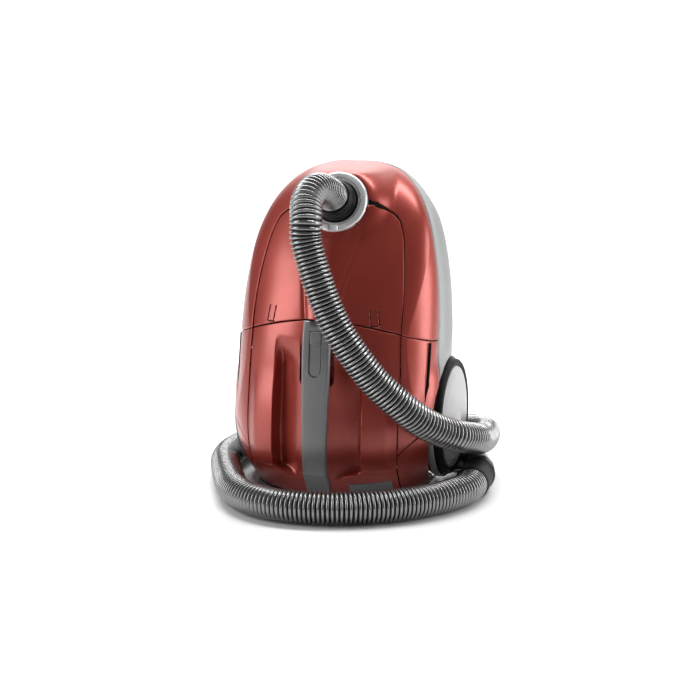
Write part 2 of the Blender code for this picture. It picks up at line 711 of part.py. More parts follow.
def dust_bag():
    """The paper bag in the upper compartment."""
    block("dust_bag", (150 * MM, 80 * MM, 135 * MM), (0, 46 * MM, 264 * MM), "paper", 18 * MM)


def control_pieces():
    """Circuit board, on/off switch and cord outlet."""
    block("circuit_board", (34 * MM, 1.6 * MM, 60 * MM), (0, 74 * MM, 90 * MM), "board", 0)
    block("main_switch", (18 * MM, 14 * MM, 22 * MM), (-88 * MM, -30 * MM, 28 * MM), "black",
          1 * MM)
    turned("cord_outlet", [(5 * MM, -4 * MM), (9 * MM, -4 * MM), (9 * MM, 3 * MM), (5 * MM, 3 * MM)],
           OUTLET, BACK, "black", 24)


def exhaust_pieces():
    """Exhaust filter and its grille in the underside."""
    block("exhaust_filter", (96 * MM, 10 * MM, 56 * MM), (0, 88 * MM, EXHAUST_Z), "foam", 1 * MM)
    face = back_mm(EXHAUST_Z / MM) * MM - 1.5 * MM
    grille = block("exhaust_grille", (103 * MM, 3 * MM, 63 * MM), (0, face, EXHAUST_Z), "black", 0)
    bars = 7
    for k in range(bars):
        z = EXHAUST_Z + (k - (bars - 1) / 2) * 8 * MM
        bar = block("grille_bar_cutter", (88 * MM, 10 * MM, 3.4 * MM), (0, face, z), "black", 0)
        cut(grille, bar)


def parking_socket():
    """The bracket on the underside that takes the hook of a floor nozzle, open at its top."""
    at = Vector((0, 106.2 * MM, 62 * MM))
    wide = 36 * MM
    tall = 60 * MM
    up_to_top = UP * 8 * MM
    bracket = block("parking_socket", (wide + 10 * MM, 11 * MM, 54 * MM), at, "black", 1 * MM)
    hook_room = block("hook_room_cutter", (wide, 6.4 * MM, tall), at + up_to_top - BACK * 1.2 * MM,
                      "black", 0)
    way_out = block("hook_neck_cutter", (wide / 2, 12 * MM, tall), at + up_to_top + BACK * 6.8 * MM,
                    "black", 0)
    cut(bracket, hook_room, way_out)


# ---- hose ---------------------------------------------------------------------------------------

def route_points(route, count):
    """Evenly spaced points along the smooth curve through a route."""
    coords = [smooth_line([(k, p[axis]) for k, p in enumerate(route)]) for axis in range(3)]
    fine = [Vector([line(k / 12) for line in coords]) * MM for k in range(12 * (len(route) - 1) + 1)]
    run = [0.0]
    for a, b in zip(fine, fine[1:]):
        run.append(run[-1] + (b - a).length)
    points = []
    for k in range(count):
        goal = run[-1] * k / (count - 1)
        i = min(int(np.searchsorted(run, goal, side="right")) - 1, len(fine) - 2)
        t = (goal - run[i]) / (run[i + 1] - run[i])
        points.append(fine[i].lerp(fine[i + 1], t))
    return points


def tube(name, points, radius, look):
    """A round solid along a line of points, with flat ends."""
    curve = bpy.data.curves.new(name, "CURVE")
    curve.dimensions = "3D"
    curve.bevel_depth = radius
    curve.bevel_resolution = 2
    curve.use_fill_caps = True
    curve.resolution_u = 1
    curve.render_resolution_u = 0
    spline = curve.splines.new("POLY")
    spline.points.add(len(points) - 1)
    for target, point in zip(spline.points, points):
        target.co = (*point, 1)
    obj = bpy.data.objects.new(name, curve)
    bpy.context.scene.collection.objects.link(obj)
    curve.materials.append(material(name, *LOOKS[look]))
    return obj


def hollow_end_tube(name, points, radius, socket, look):
    """A bent round tube with a socket in its far end."""
    sides = 16
    rings = []
    for k, point in enumerate(points):
        ahead = points[min(k + 1, len(points) - 1)] - points[max(k - 1, 0)]
        across = ahead.cross(UP).normalized()
        over = across.cross(ahead).normalized()
        for i in range(sides):
            angle = 2 * math.pi * i / sides
            rings.append(point + radius * (math.cos(angle) * across + math.sin(angle) * over))
    obj = finish(name, mesh_from(name, rings, bar_faces(len(points), sides)), look)
    out = (points[-1] - points[-2]).normalized()
    cut(obj, disc("socket_bore", socket, -0.036, 0.01, points[-1], out, look, 24))


def hose_pieces():
    """The corrugated hose and the bent tube on its end."""
    points = route_points(HOSE_ROUTE, 76)
    tube("hose", points, HOSE_R, "silver")
    end = points[-1]
    along = (points[-1] - points[-2]).normalized()
    cuff_from = end + along * CLEAR
    disc("hose_end_cuff", HOSE_R + 1.3 * MM, 0, CUFF_LENGTH, cuff_from, along, "black", 32, 2 * MM)
    start = cuff_from + along * (CUFF_LENGTH + 1.5 * MM)
    bend = [tuple(start / MM), tuple((start + along * HANDLE_STRAIGHT) / MM)] + HANDLE_ROUTE
    hollow_end_tube("handle_tube", route_points(bend, 22), TUBE_R, SOCKET_R, "black")
    tube_end = Vector(HANDLE_ROUTE[-1]) * MM
    at = tube_end + Vector((50 * MM, 0, TUBE_R + 2 * MM))
    block("suction_slider", (22 * MM, 13 * MM, 3 * MM), at, "grey", 0.8 * MM)


# ---- the whole cleaner --------------------------------------------------------------------------

lower_casing()
base_plate()
upper_frame()
lid()
rear_cover()
side_panel("left_side_panel", -1)
side_panel("right_side_panel", 1)
pedal("rewind_pedal", -1)
pedal("power_pedal", 1)
carry_handle()
power_slider()
inlet_pieces()
lid_latch()
hinge_pin("left", -1)
hinge_pin("right", 1)
rear_wheel("left", -1)
rear_wheel("right", 1)
caster()
feet()
motor_pieces()
reel_pieces()
bulkhead_pieces()
dust_bag()
control_pieces()
exhaust_pieces()
parking_socket()
hose_pieces()

middle = bpy.data.objects.new("cleaner", None)
bpy.context.scene.collection.objects.link(middle)
for piece in bpy.data.objects:
    if piece is not middle:
        piece.parent = middle
middle.location = (0, MIDDLE_Y, 0)
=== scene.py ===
"""Looks of the canister vacuum cleaner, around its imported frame."""
import json
import math

import bmesh
import bpy
import numpy as np
from mathutils import Matrix, Vector

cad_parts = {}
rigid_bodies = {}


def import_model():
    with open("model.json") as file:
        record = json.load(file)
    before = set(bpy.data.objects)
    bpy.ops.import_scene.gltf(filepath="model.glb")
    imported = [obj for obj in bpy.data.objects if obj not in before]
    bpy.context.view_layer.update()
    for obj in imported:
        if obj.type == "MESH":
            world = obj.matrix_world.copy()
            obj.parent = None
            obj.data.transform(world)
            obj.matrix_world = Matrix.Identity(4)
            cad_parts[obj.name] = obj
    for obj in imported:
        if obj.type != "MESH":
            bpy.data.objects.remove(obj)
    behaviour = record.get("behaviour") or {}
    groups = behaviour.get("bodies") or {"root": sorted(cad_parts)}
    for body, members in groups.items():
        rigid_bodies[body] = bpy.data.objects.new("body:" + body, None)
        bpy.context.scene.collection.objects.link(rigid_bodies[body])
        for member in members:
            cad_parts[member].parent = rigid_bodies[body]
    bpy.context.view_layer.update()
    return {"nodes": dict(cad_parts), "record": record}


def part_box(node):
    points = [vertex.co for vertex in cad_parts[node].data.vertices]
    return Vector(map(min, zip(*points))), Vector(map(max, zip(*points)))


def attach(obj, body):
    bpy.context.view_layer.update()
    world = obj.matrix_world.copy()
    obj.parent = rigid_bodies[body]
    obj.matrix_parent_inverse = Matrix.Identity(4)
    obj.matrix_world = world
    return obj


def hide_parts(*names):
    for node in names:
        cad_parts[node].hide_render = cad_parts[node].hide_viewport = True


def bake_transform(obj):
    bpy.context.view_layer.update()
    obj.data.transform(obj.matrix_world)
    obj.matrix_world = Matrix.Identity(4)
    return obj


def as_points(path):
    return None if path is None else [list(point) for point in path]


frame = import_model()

MM = 0.001

# ---- places taken from the frame ----------------------------------------------------------------


def joint(name):
    return next(j for j in frame["record"]["behaviour"]["joints"] if j["name"] == name)


def box(node):
    low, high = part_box(node)
    return Vector(low), Vector(high)


def middle(node):
    low, high = box(node)
    return (low + high) / 2


def side_label(side):
    return "left" if side < 0 else "right"


CASING_LOW, CASING_HIGH = box("lower_casing")
TOP = CASING_HIGH.z + 0.0002
BASE = CASING_LOW.z
HALF_WIDTH = CASING_HIGH.x
MIDDLE_Y = joint("left_wheel_spin")["pos_m"][1] - 0.050
INLET = Vector(joint("inlet_swivel")["pos_m"])
INLET_AXIS = Vector(joint("inlet_swivel")["axis"]).normalized()
INLET_TILT = math.asin(INLET_AXIS.z)
RING_LOW, RING_HIGH = box("inlet_ring")
RING_R = (RING_HIGH.x - RING_LOW.x) / 2
WHEEL = Vector(joint("right_wheel_spin")["pos_m"])
WHEEL_R = (box("right_tyre")[1].z - box("right_tyre")[0].z) / 2
WIDEST = 0.150              # height of the widest section
LID_SEAM_Z = 0.232          # lower edge of the lid on the centre line
LID_SEAM_DROP = 0.032       # how much lower it is at the sides
LID_TOP = 0.368
CHAMFER_Z = 0.036           # below this the front slopes back towards the base
CHAMFER_SLOPE = 0.45
NECK_BLEND = 0.030          # width of the slope that carries the shell up to the ring
ROOF_BLEND = 0.012          # the slope dies out over this height below the top
PEDAL_INNER_X = 0.101       # the corner pedals reach from here outwards
PEDAL_HEIGHT = 0.061        # their height at that edge
PEDAL_SLOPE = 1.05
ARCH = 0.0044               # from the tyre to the outside of the casing's wheel arch
WHEEL_STANDS_OUT = {"left": -0.0034, "right": 0.0035}
SEAM = 0.0009               # visible gap between neighbouring shells
LID_GAP = 0.0009            # from the seam's line to the lid's lower edge
WALL = 0.0026
HANDLE_THICK = 0.005
SCOOP_DEPTH = 0.0145        # finger hollows beside the handle
GRIP_DEPTH = 0.0150         # the gap behind the handle's upper part
POD_RISE = 0.0030           # the flat pods outside the hollows
CREST_RISE = 0.0030         # the ridge down both flanks
FLARE = 0.0040              # the flanks' swelling round the rear wheels
SWELL = 0.0055              # the casing's fullness behind the parting line
SPINE_RISE = 0.0050         # the raised spine down the lid
FINGER_NOTCH = 0.0090       # the wedge over the lid's upper edge, right and left of the ring
HANDLE_HALF = 0.019
HINGE_COVER_X = 0.0685
CUFF_LENGTH = 0.0404        # the black cuff on the hose's end
BACK = Vector((0, 1, 0))
RIGHT = Vector((1, 0, 0))
UP = Vector((0, 0, 1))
BODY_MIDDLE = Vector((0, 0.02, 0.2))

# ---- the body's surfaces, as the CAD describes them ---------------------------------------------


def smooth_line(points):
    """A smooth function through (at, value) points, for numbers or arrays."""
    at = np.array([p[0] for p in points], float)
    value = np.array([p[1] for p in points], float)
    slope = np.gradient(value, at)

    def line(x):
        x = np.clip(np.asarray(x, float), at[0], at[-1])
        i = np.clip(np.searchsorted(at, x) - 1, 0, len(at) - 2)
        step = at[i + 1] - at[i]
        t = (x - at[i]) / step
        return ((2 * t**3 - 3 * t**2 + 1) * value[i] + (t**3 - 2 * t**2 + t) * step * slope[i]
                + (3 * t**2 - 2 * t**3) * value[i + 1] + (t**3 - t**2) * step * slope[i + 1])
    return line


parting_mm = smooth_line([(6, 30), (30, 18), (60, 4), (95, -6), (130, -8), (170, -4), (220, 4),
                          (270, 13), (320, 24), (370, 44), (400, 62), (420, 80)])
back_mm = smooth_line([(6, 84), (40, 95), (100, 100), (300, 100), (350, 99), (380, 97),
                       (400, 94), (412, 90), (420, 82)])
crown = smooth_line([(6, 2.3), (75, 2.2), (150, 1.85), (236, 1.72), (420, 1.75)])
front_mm = smooth_line([(0, 80), (3.2, 38), (6.2, 4), (8.95, -26), (11.3, -57), (13.5, -83),
                        (17.1, -98), (18.9, -101), (20.4, -91)])
lid_half_mm = smooth_line([(190, 99), (236, 99), (306, 92.6), (340, 85), (356, 76), (365, 62),
                           (368, 54)])
cover_half_mm = smooth_line([(0, 96), (60, 100), (90, 101), (150, 101.6), (240, 99)])
crest_mm = smooth_line([(6, 118), (60, 122), (110, 121), (150, 112), (190, 107), (205, 106),
                        (250, 113), (290, 118), (330, 116), (365, 104), (395, 84), (420, 60)])


def step01(value, low, high):
    t = np.clip((value - low) / (high - low), 0, 1)
    return t * t * (3 - 2 * t)


def half_width(z):
    rise = np.clip((z - WIDEST) / (TOP - WIDEST), 0, 1)
    upper = HALF_WIDTH * (1 - rise**2.9)**(1 / 2.9)
    lower = HALF_WIDTH * (1 - 0.15 * (np.maximum(WIDEST - z, 0) / WIDEST)**3)
    return np.where(np.asarray(z) > WIDEST, upper, lower)


def parting(z):
    return parting_mm(np.asarray(z) / MM) * MM + MIDDLE_Y


def front_profile(z):
    return front_mm(np.sqrt(np.maximum((TOP - np.asarray(z)) / MM, 0))) * MM + MIDDLE_Y


def front(x, z):
    """The Y of the lid side's surface over a point of the front view, with the inlet's neck."""
    n = crown(z / MM)
    share = np.minimum(np.abs(x) / np.maximum(half_width(z), 1e-6), 1)
    plain = parting(z) - (parting(z) - front_profile(z)) * (1 - share**n)**(1 / n)
    plain = plain + CHAMFER_SLOPE * np.maximum(CHAMFER_Z - z, 0)
    rise = (z - INLET.z) / math.cos(INLET_TILT)
    away = np.hypot(x - INLET.x, rise)
    neck = 1 - step01(away, RING_R, RING_R + NECK_BLEND)
    neck = neck * (1 - step01(z, TOP - ROOF_BLEND, TOP))
    ring_plane = INLET.y + (z - INLET.z) * math.tan(INLET_TILT)
    return plain + neck * (np.minimum(ring_plane, plain) - plain)


def front_at(x, z):
    return float(front(np.array(x), np.array(z)))


def lid_seam(x):
    return LID_SEAM_Z - LID_SEAM_DROP * (np.abs(x) / 0.132)**1.7


def diagonal(x):
    return PEDAL_HEIGHT + PEDAL_SLOPE * (np.abs(x) - PEDAL_INNER_X)


def crest(x, z):
    """The character line down both flanks: a low ridge with a crisp top."""
    at = crest_mm(z / MM) * MM
    off = np.abs(x) - at
    outside = np.maximum(half_width(z) - at, 0.006)
    rise = np.where(off > 0, 1 - off / outside, 1 + off / 0.030)
    strength = CREST_RISE * (1 - step01(z, 0.360, 0.405)) * step01(z, 0.010, 0.070)
    return -strength * np.clip(rise, 0, 1)**1.15


def scoops(x, z):
    """Finger hollows: a flank falling from the handle to a valley, then the pod's steep wall."""
    side = np.abs(x)
    flank = SCOOP_DEPTH * np.sin(0.5 * math.pi * np.clip((side - 0.0150) / 0.0360, 0, 1))**1.4
    gap = GRIP_DEPTH * (1 - step01(side, 0.0190, 0.0245))
    under_grip = step01(z, 0.148, 0.160)
    lip = 0.024 + 0.36 * np.maximum(side - 0.019, 0)
    along = step01(z, lip, lip + 0.010) * (1 - step01(z, 0.172, 0.212))
    wall = 1 - step01(side, 0.0510, 0.0602)
    return np.maximum(flank * wall, gap * under_grip) * along


def pods(x, z):
    """The flat-faced pods outside the finger hollows, with their crisp lower edge."""
    side = np.abs(x)
    inside = step01(side, 0.0565, 0.0600) * (1 - step01(side, 0.086, 0.098))
    up = step01(z, 0.0400, 0.0440) * (1 - step01(z, 0.120, 0.170))
    return -POD_RISE * inside * up


def flare(x, y, z):
    """How far the flanks swell outwards round the rear wheels."""
    away = np.hypot(y - WHEEL.y, z - WHEEL.z)
    near_side = step01(np.abs(x), 0.100, 0.124)
    return np.sign(x) * FLARE * near_side * (1 - step01(away, WHEEL_R + 0.004, WHEEL_R + 0.030))


def lid_relief(x, z):
    """The raised spine down the lid, widening from the handle's width to the ring's."""
    width = 0.018 + 0.024 * np.clip((z - LID_SEAM_Z) / 0.113, 0, 1.2)**1.1
    share = np.clip(np.abs(x) / width, 0, 1)
    bulge = SPINE_RISE * (1 - share**2)
    groove = 0.0012 * np.exp(-((np.abs(x) - width) / 0.0035)**2)
    fade = 1 - step01(z, 0.325, 0.345)
    return (groove - bulge) * fade


# ---- mesh helpers -------------------------------------------------------------------------------

def made(name, points, faces, material, smooth_angle=35):
    """An object from points and faces, smooth-shaded, with one material."""
    mesh = bpy.data.meshes.new(name)
    mesh.from_pydata([tuple(p) for p in points], [], faces)
    mesh.validate()
    bm = bmesh.new()
    bm.from_mesh(mesh)
    bmesh.ops.recalc_face_normals(bm, faces=bm.faces)
    bm.to_mesh(mesh)
    bm.free()
    mesh.shade_smooth()
    mesh.set_sharp_from_angle(angle=math.radians(smooth_angle))
    obj = bpy.data.objects.new(name, mesh)
    bpy.context.scene.collection.objects.link(obj)
    if material:
        mesh.materials.append(material)
    return obj


def grid_faces(rows, columns, close=False):
    faces = []
    for r in range(rows - 1):
        for c in range(columns if close else columns - 1):
            d = (c + 1) % columns
            faces.append((r * columns + c, r * columns + d, (r + 1) * columns + d,
                          (r + 1) * columns + c))
    return faces


def bar_faces(rings, around):
    """The skin of a bar made of rings of points, with its two ends."""
    count = rings * around
    return (grid_faces(rings, around, True)
            + [list(range(around))[::-1], list(range(count - around, count))])


def facing(direction):
    """A turn that brings Z onto a direction."""
    return Vector(direction).to_track_quat("Z", "Y").to_matrix().to_4x4()


def turned(name, outline, at, direction, material, sides=96, closed=True):
    """A (radius, height) outline turned round an axis; ends on the axis if it isn't closed."""
    count = len(outline)
    points = []
    for k in range(sides):
        turn = 2 * math.pi * k / sides
        points += [(r * math.cos(turn), r * math.sin(turn), h) for r, h in outline]
    faces = []
    for k in range(sides):
        a = k * count
        b = ((k + 1) % sides) * count
        last = count if closed else count - 1
        faces += [(a + i, b + i, b + (i + 1) % count, a + (i + 1) % count) for i in range(last)]
    if not closed:
        faces.append([k * count for k in range(sides)][::-1])
        faces.append([k * count + count - 1 for k in range(sides)])
    obj = made(name, points, faces, material)
    obj.data.transform(Matrix.Translation(at) @ facing(direction))
    return obj


def rounded_outline(points, radius, steps=4):
    """A closed outline whose corners are rounded by short arcs."""
    result = []
    count = len(points)
    for k in range(count):
        here = Vector(points[k])
        before = Vector(points[k - 1]) - here
        after = Vector(points[(k + 1) % count]) - here
        reach = min(radius, 0.45 * before.length, 0.45 * after.length)
        start = here + before.normalized() * reach
        end = here + after.normalized() * reach
        for i in range(steps + 1):
            t = i / steps
            p = start.lerp(here, t).lerp(here.lerp(end, t), t)
            result.append((p.x, p.y))
    return result


def rounded_box(name, size, at, material, bevel=0.001, segments=3, turn=None):
    mesh = bpy.data.meshes.new(name)
    bm = bmesh.new()
    bmesh.ops.create_cube(bm, size=1)
    bmesh.ops.scale(bm, vec=size, verts=bm.verts)
    bmesh.ops.bevel(bm, geom=bm.edges, offset=bevel, segments=segments, profile=0.6,
                    affect="EDGES")
    bm.to_mesh(mesh)
    bm.free()
    mesh.shade_smooth()
    mesh.set_sharp_from_angle(angle=math.radians(40))
    mesh.transform(Matrix.Translation(at) @ (turn or Matrix.Identity(4)))
    obj = bpy.data.objects.new(name, mesh)
    bpy.context.scene.collection.objects.link(obj)
    mesh.materials.append(material)
    return obj


def spaced(count, width, bunch=None):
    """Fractions from 0 to 1, with extra lines close to both ends for a rounded edge."""
    edge = np.array([0, 0.0002, 0.0005, 0.0009, 0.0014]) / width
    inner = np.linspace(0, 1, count)
    if bunch:
        inner = bunch(inner)
    inner = inner[(inner > edge[-1] * 1.6) & (inner < 1 - edge[-1] * 1.6)]
    return np.concatenate([edge, inner, 1 - edge[::-1]])


def grid_normals(points):
    along = np.gradient(points, axis=0)
    across = np.gradient(points, axis=1)
    normal = np.cross(across, along)
    normal /= np.maximum(np.linalg.norm(normal, axis=2, keepdims=True), 1e-12)
    outward = np.sum(normal * (points - np.array(BODY_MIDDLE)), axis=2, keepdims=True)
    return np.where(np.sum(outward) < 0, -normal, normal)


def sheet_edges(points):
    """Distance of each grid point from the nearest border, measured along the grid."""
    def run(axis):
        step = np.linalg.norm(np.diff(points, axis=axis), axis=2)
        zero = np.zeros_like(np.take(step, [0], axis=axis))
        total = np.concatenate([zero, np.cumsum(step, axis=axis)], axis=axis)
        last = np.take(total, [-1], axis=axis)
        return np.minimum(total, last - total)
    return np.minimum(run(0), run(1))


def shell_from(name, points, material, edge=0.0012, wall=WALL):
    """A grid of points as a shell with softly rounded edges and a real wall thickness."""
    normal = grid_normals(points)
    near = np.clip(sheet_edges(points), 0, edge)
    drop = edge - np.sqrt(np.maximum(edge**2 - (edge - near)**2, 0))
    points = points - normal * drop[:, :, None]
    rows, columns = points.shape[:2]
    obj = made(name, points.reshape(-1, 3), grid_faces(rows, columns), material, 30)
    face = obj.data.polygons[len(obj.data.polygons) // 2]
    if face.normal.dot(face.center - BODY_MIDDLE) < 0:
        obj.data.flip_normals()
    solid = obj.modifiers.new("wall", "SOLIDIFY")
    solid.thickness = wall
    solid.offset = -1
    return obj


def patch(name, left, right, low, high, columns, rows, material, relief=(), edge_gap=SEAM / 2):
    """A panel of the front surface between side curves x(z) and end curves z(x)."""
    u, v = np.meshgrid(columns, rows)
    z = low(np.zeros_like(u)) * (1 - v) + high(np.zeros_like(u)) * v
    for _ in range(12):
        x = left(z) + u * (right(z) - left(z))
        z = low(x) * (1 - v) + high(x) * v
    y = front(x, z)
    for shape in relief:
        y = y + shape(x, z)
    y = np.minimum(y, parting(z) - edge_gap)
    return shell_from(name, np.stack([x + flare(x, y, z), y, z], axis=2), material)


def cut(obj, *cutters):
    for cutter in cutters:
        cutter.hide_render = True
        cutter.hide_viewport = False
        cutter.display_type = "WIRE"
        tool = obj.modifiers.new("cut", "BOOLEAN")
        tool.object = cutter
        tool.solver = "MANIFOLD"
    apply_modifiers(obj)
    for cutter in cutters:
        bpy.data.objects.remove(cutter, do_unlink=True)


def apply_modifiers(obj):
    """Freeze an object's modifiers into its mesh."""
    evaluated = obj.evaluated_get(bpy.context.evaluated_depsgraph_get())
    mesh = bpy.data.meshes.new_from_object(evaluated)
    old = obj.data
    obj.modifiers.clear()
    obj.data = mesh
    mesh.name = old.name
    bpy.data.meshes.remove(old)


def settle(obj, body, look, *nodes):
    """Ride on a body and stand for the CAD nodes; the finish's name is not used."""
    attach(obj, body)
    if nodes:
        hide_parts(*nodes)
    return obj


# ---- materials ----------------------------------------------------------------------------------

def new_material(name):
    material = bpy.data.materials.new(name)
    material.use_nodes = True
    nodes = material.node_tree.nodes
    return material, nodes, material.node_tree.links, nodes["Principled BSDF"]


def noise(nodes, links, coords, scale, detail=3.0, roughness=0.5):
    node = nodes.new("ShaderNodeTexNoise")
    node.inputs["Scale"].default_value = scale
    node.inputs["Detail"].default_value = detail
    node.inputs["Roughness"].default_value = roughness
    links.new(coords, node.inputs["Vector"])
    return node.outputs["Fac"]


def ramp(nodes, links, value, stops):
    node = nodes.new("ShaderNodeValToRGB")
    elements = node.color_ramp.elements
    while len(elements) < len(stops):
        elements.new(0.5)
    for element, (at, color) in zip(elements, stops):
        element.position = at
        element.color = (*color, 1) if len(color) == 3 else color
    links.new(value, node.inputs["Fac"])
    return node.outputs["Color"]


def to_range(nodes, links, value, low, high, from_low=0.0, from_high=1.0):
    node = nodes.new("ShaderNodeMapRange")
    node.inputs["From Min"].default_value = from_low
    node.inputs["From Max"].default_value = from_high
    node.inputs["To Min"].default_value = low
    node.inputs["To Max"].default_value = high
    links.new(value, node.inputs["Value"])
    return node.outputs["Result"]


def bump(nodes, links, shader, height, strength, distance):
    node = nodes.new("ShaderNodeBump")
    node.inputs["Strength"].default_value = strength
    node.inputs["Distance"].default_value = distance
    links.new(height, node.inputs["Height"])
    links.new(node.outputs["Normal"], shader.inputs["Normal"])


def plastic(name, dark, light, roughness, metallic=0.0, grain=900, grain_depth=0.00006,
            coat=0.0, cloud=14, spec=0.5, fleck_share=0.12):
    """Moulded or painted plastic: slow colour drift, fine grain, uneven gloss and light wear."""
    material, nodes, links, shader = new_material(name)
    coords = nodes.new("ShaderNodeTexCoord").outputs["Object"]
    drift = noise(nodes, links, coords, cloud, 4)
    fleck = noise(nodes, links, coords, grain * 1.6, 2)
    mix = nodes.new("ShaderNodeMath")
    mix.operation = "MULTIPLY_ADD"
    mix.inputs[1].default_value = fleck_share
    links.new(fleck, mix.inputs[0])
    links.new(to_range(nodes, links, drift, 0.1, 0.65), mix.inputs[2])
    links.new(ramp(nodes, links, mix.outputs[0], [(0.25, dark), (0.85, light)]),
              shader.inputs["Base Color"])
    haze = noise(nodes, links, coords, cloud * 5, 5, 0.6)
    links.new(to_range(nodes, links, haze, roughness * 0.93, roughness * 1.10, 0.3, 0.7),
              shader.inputs["Roughness"])
    shader.inputs["Metallic"].default_value = metallic
    shader.inputs["Specular IOR Level"].default_value = spec
    shader.inputs["Coat Weight"].default_value = coat
    shader.inputs["Coat Roughness"].default_value = 0.22
    if grain_depth:
        bump(nodes, links, shader, noise(nodes, links, coords, grain, 2), 0.35, grain_depth)
    return material


RED = plastic("shell_red", (0.27, 0.027, 0.016), (0.33, 0.036, 0.022), 0.34, 0.50, grain_depth=0,
              coat=0.45)
SILVER = plastic("casing_silver", (0.235, 0.24, 0.24), (0.275, 0.28, 0.28), 0.45, 0.15,
                 grain_depth=0.00001)
GREY = plastic("handle_grey", (0.17, 0.17, 0.175), (0.21, 0.21, 0.215), 0.38, 0.45, grain_depth=0,
               coat=0.1)
TRIM = plastic("trim_silver", (0.66, 0.66, 0.67), (0.74, 0.74, 0.75), 0.26, 0.45, grain_depth=0,
               coat=0.2)
CAP_SILVER = plastic("cap_silver", (0.30, 0.30, 0.305), (0.35, 0.35, 0.355), 0.40, 0.30,
                     grain_depth=0, coat=0.1)
BLACK = plastic("black_plastic", (0.005, 0.005, 0.005), (0.010, 0.010, 0.010), 0.30, 0,
                grain_depth=0, spec=0.22)
MATT_BLACK = plastic("matt_black", (0.006, 0.006, 0.006), (0.014, 0.014, 0.014), 0.6, 0, 900,
                     0.00002, spec=0.15)
RUBBER = plastic("rubber", (0.006, 0.006, 0.006), (0.012, 0.012, 0.012), 0.6, 0, 700, 0.00002,
                 spec=0.15)
HOSE_CREST = plastic("hose_silver", (0.24, 0.24, 0.24), (0.29, 0.29, 0.29), 0.25, 0.9,
                     grain_depth=0)
# Near-black for the hose's valley rows: painted shade in the grooves between the ribs.
HOSE_VALLEY_SHADE = plastic("hose_valley", (0.02, 0.02, 0.02), (0.035, 0.035, 0.035), 0.45, 0.3,
                      grain_depth=0)
WHITE = plastic("white_plastic", (0.62, 0.62, 0.60), (0.74, 0.74, 0.72), 0.45)
STEEL = plastic("steel", (0.42, 0.42, 0.43), (0.58, 0.58, 0.59), 0.28, 0.95, 600, 0.00004)
WINDING = plastic("winding", (0.30, 0.11, 0.05), (0.50, 0.22, 0.11), 0.35, 0.9, 500, 0.0003)
PAPER = plastic("bag_fleece", (0.50, 0.44, 0.36), (0.66, 0.60, 0.50), 0.95, 0, 420, 0.0006, 0, 20,
                0.2)
FOAM = plastic("filter_foam", (0.03, 0.03, 0.035), (0.09, 0.09, 0.10), 0.95, 0, 380, 0.0012, 0, 60,
               0.1)
BOARD = plastic("circuit_board", (0.010, 0.09, 0.03), (0.02, 0.14, 0.05), 0.4, 0, 500, 0.0001)

# ---- camera, floor and light --------------------------------------------------------------------

AZIMUTH = math.radians(18)
ELEVATION = math.radians(10)
DISTANCE = 2.2
LOOK_AT = Vector((0, MIDDLE_Y, 0.2))


def camera():
    towards = Vector((math.sin(AZIMUTH) * math.cos(ELEVATION),
                      -math.cos(AZIMUTH) * math.cos(ELEVATION), math.sin(ELEVATION)))
    data = bpy.data.cameras.new("camera")
    data.lens = 87.0
    data.sensor_width = 36
    data.shift_x = 11 / 700
    data.shift_y = -16 / 700
    obj = bpy.data.objects.new("camera", data)
    obj.location = LOOK_AT + towards * DISTANCE
    obj.rotation_euler = towards.to_track_quat("Z", "Y").to_euler()
    bpy.context.scene.collection.objects.link(obj)
    bpy.context.scene.camera = obj


def backdrop():
    """A pale floor that curves up into a pale wall."""
    wall = 1.0
    bend = 0.8
    outline = [(-3.0, 0.0), (wall, 0.0)]
    outline += [(wall + bend * math.sin(a), bend - bend * math.cos(a))
                for a in np.linspace(0.1, math.pi / 2, 14)]
    outline.append((wall + bend, 3.5))
    points = [(x, y, z) for y, z in outline for x in (-4, 4)]
    material, nodes, links, shader = new_material("studio_white")
    coords = nodes.new("ShaderNodeTexCoord").outputs["Object"]
    links.new(ramp(nodes, links, noise(nodes, links, coords, 3, 2),
                   [(0.3, (0.86, 0.86, 0.86)), (0.7, (0.9, 0.9, 0.9))]),
              shader.inputs["Base Color"])
    shader.inputs["Roughness"].default_value = 0.6
    obj = made("studio", points, grid_faces(len(outline), 2), material, 60)


def area_light(name, at, look_at, size, power):
    data = bpy.data.lights.new(name, "AREA")
    data.shape = "RECTANGLE"
    data.size, data.size_y = size
    data.energy = power
    obj = bpy.data.objects.new(name, data)
    obj.location = at
    obj.rotation_euler = (Vector(at) - Vector(look_at)).to_track_quat("Z", "Y").to_euler()
    bpy.context.scene.collection.objects.link(obj)


def lights():
    """Soft boxes from the left front, the right and above, and a lit backdrop."""
    world = bpy.data.worlds.new("studio")
    world.use_nodes = True
    world.node_tree.nodes["Background"].inputs["Color"].default_value = (1, 1, 1, 1)
    world.node_tree.nodes["Background"].inputs["Strength"].default_value = 0.17
    bpy.context.scene.world = world
    bpy.context.scene.view_settings.view_transform = "Standard"
    target = (0, 0, 0.2)
    area_light("left_softbox", (-1.75, -0.95, 0.9), target, (1.0, 1.6), 28)
    area_light("right_softbox", (1.75, 0.35, 0.55), target, (0.6, 1.5), 20)
    area_light("top_softbox", (-0.7, 0.9, 1.8), target, (1.4, 0.6), 9)
    area_light("backdrop_light", (0, 0.5, 2.4), (0, 1.6, 0.6), (3.0, 0.6), 90)


# ---- hose ---------------------------------------------------------------------------------------

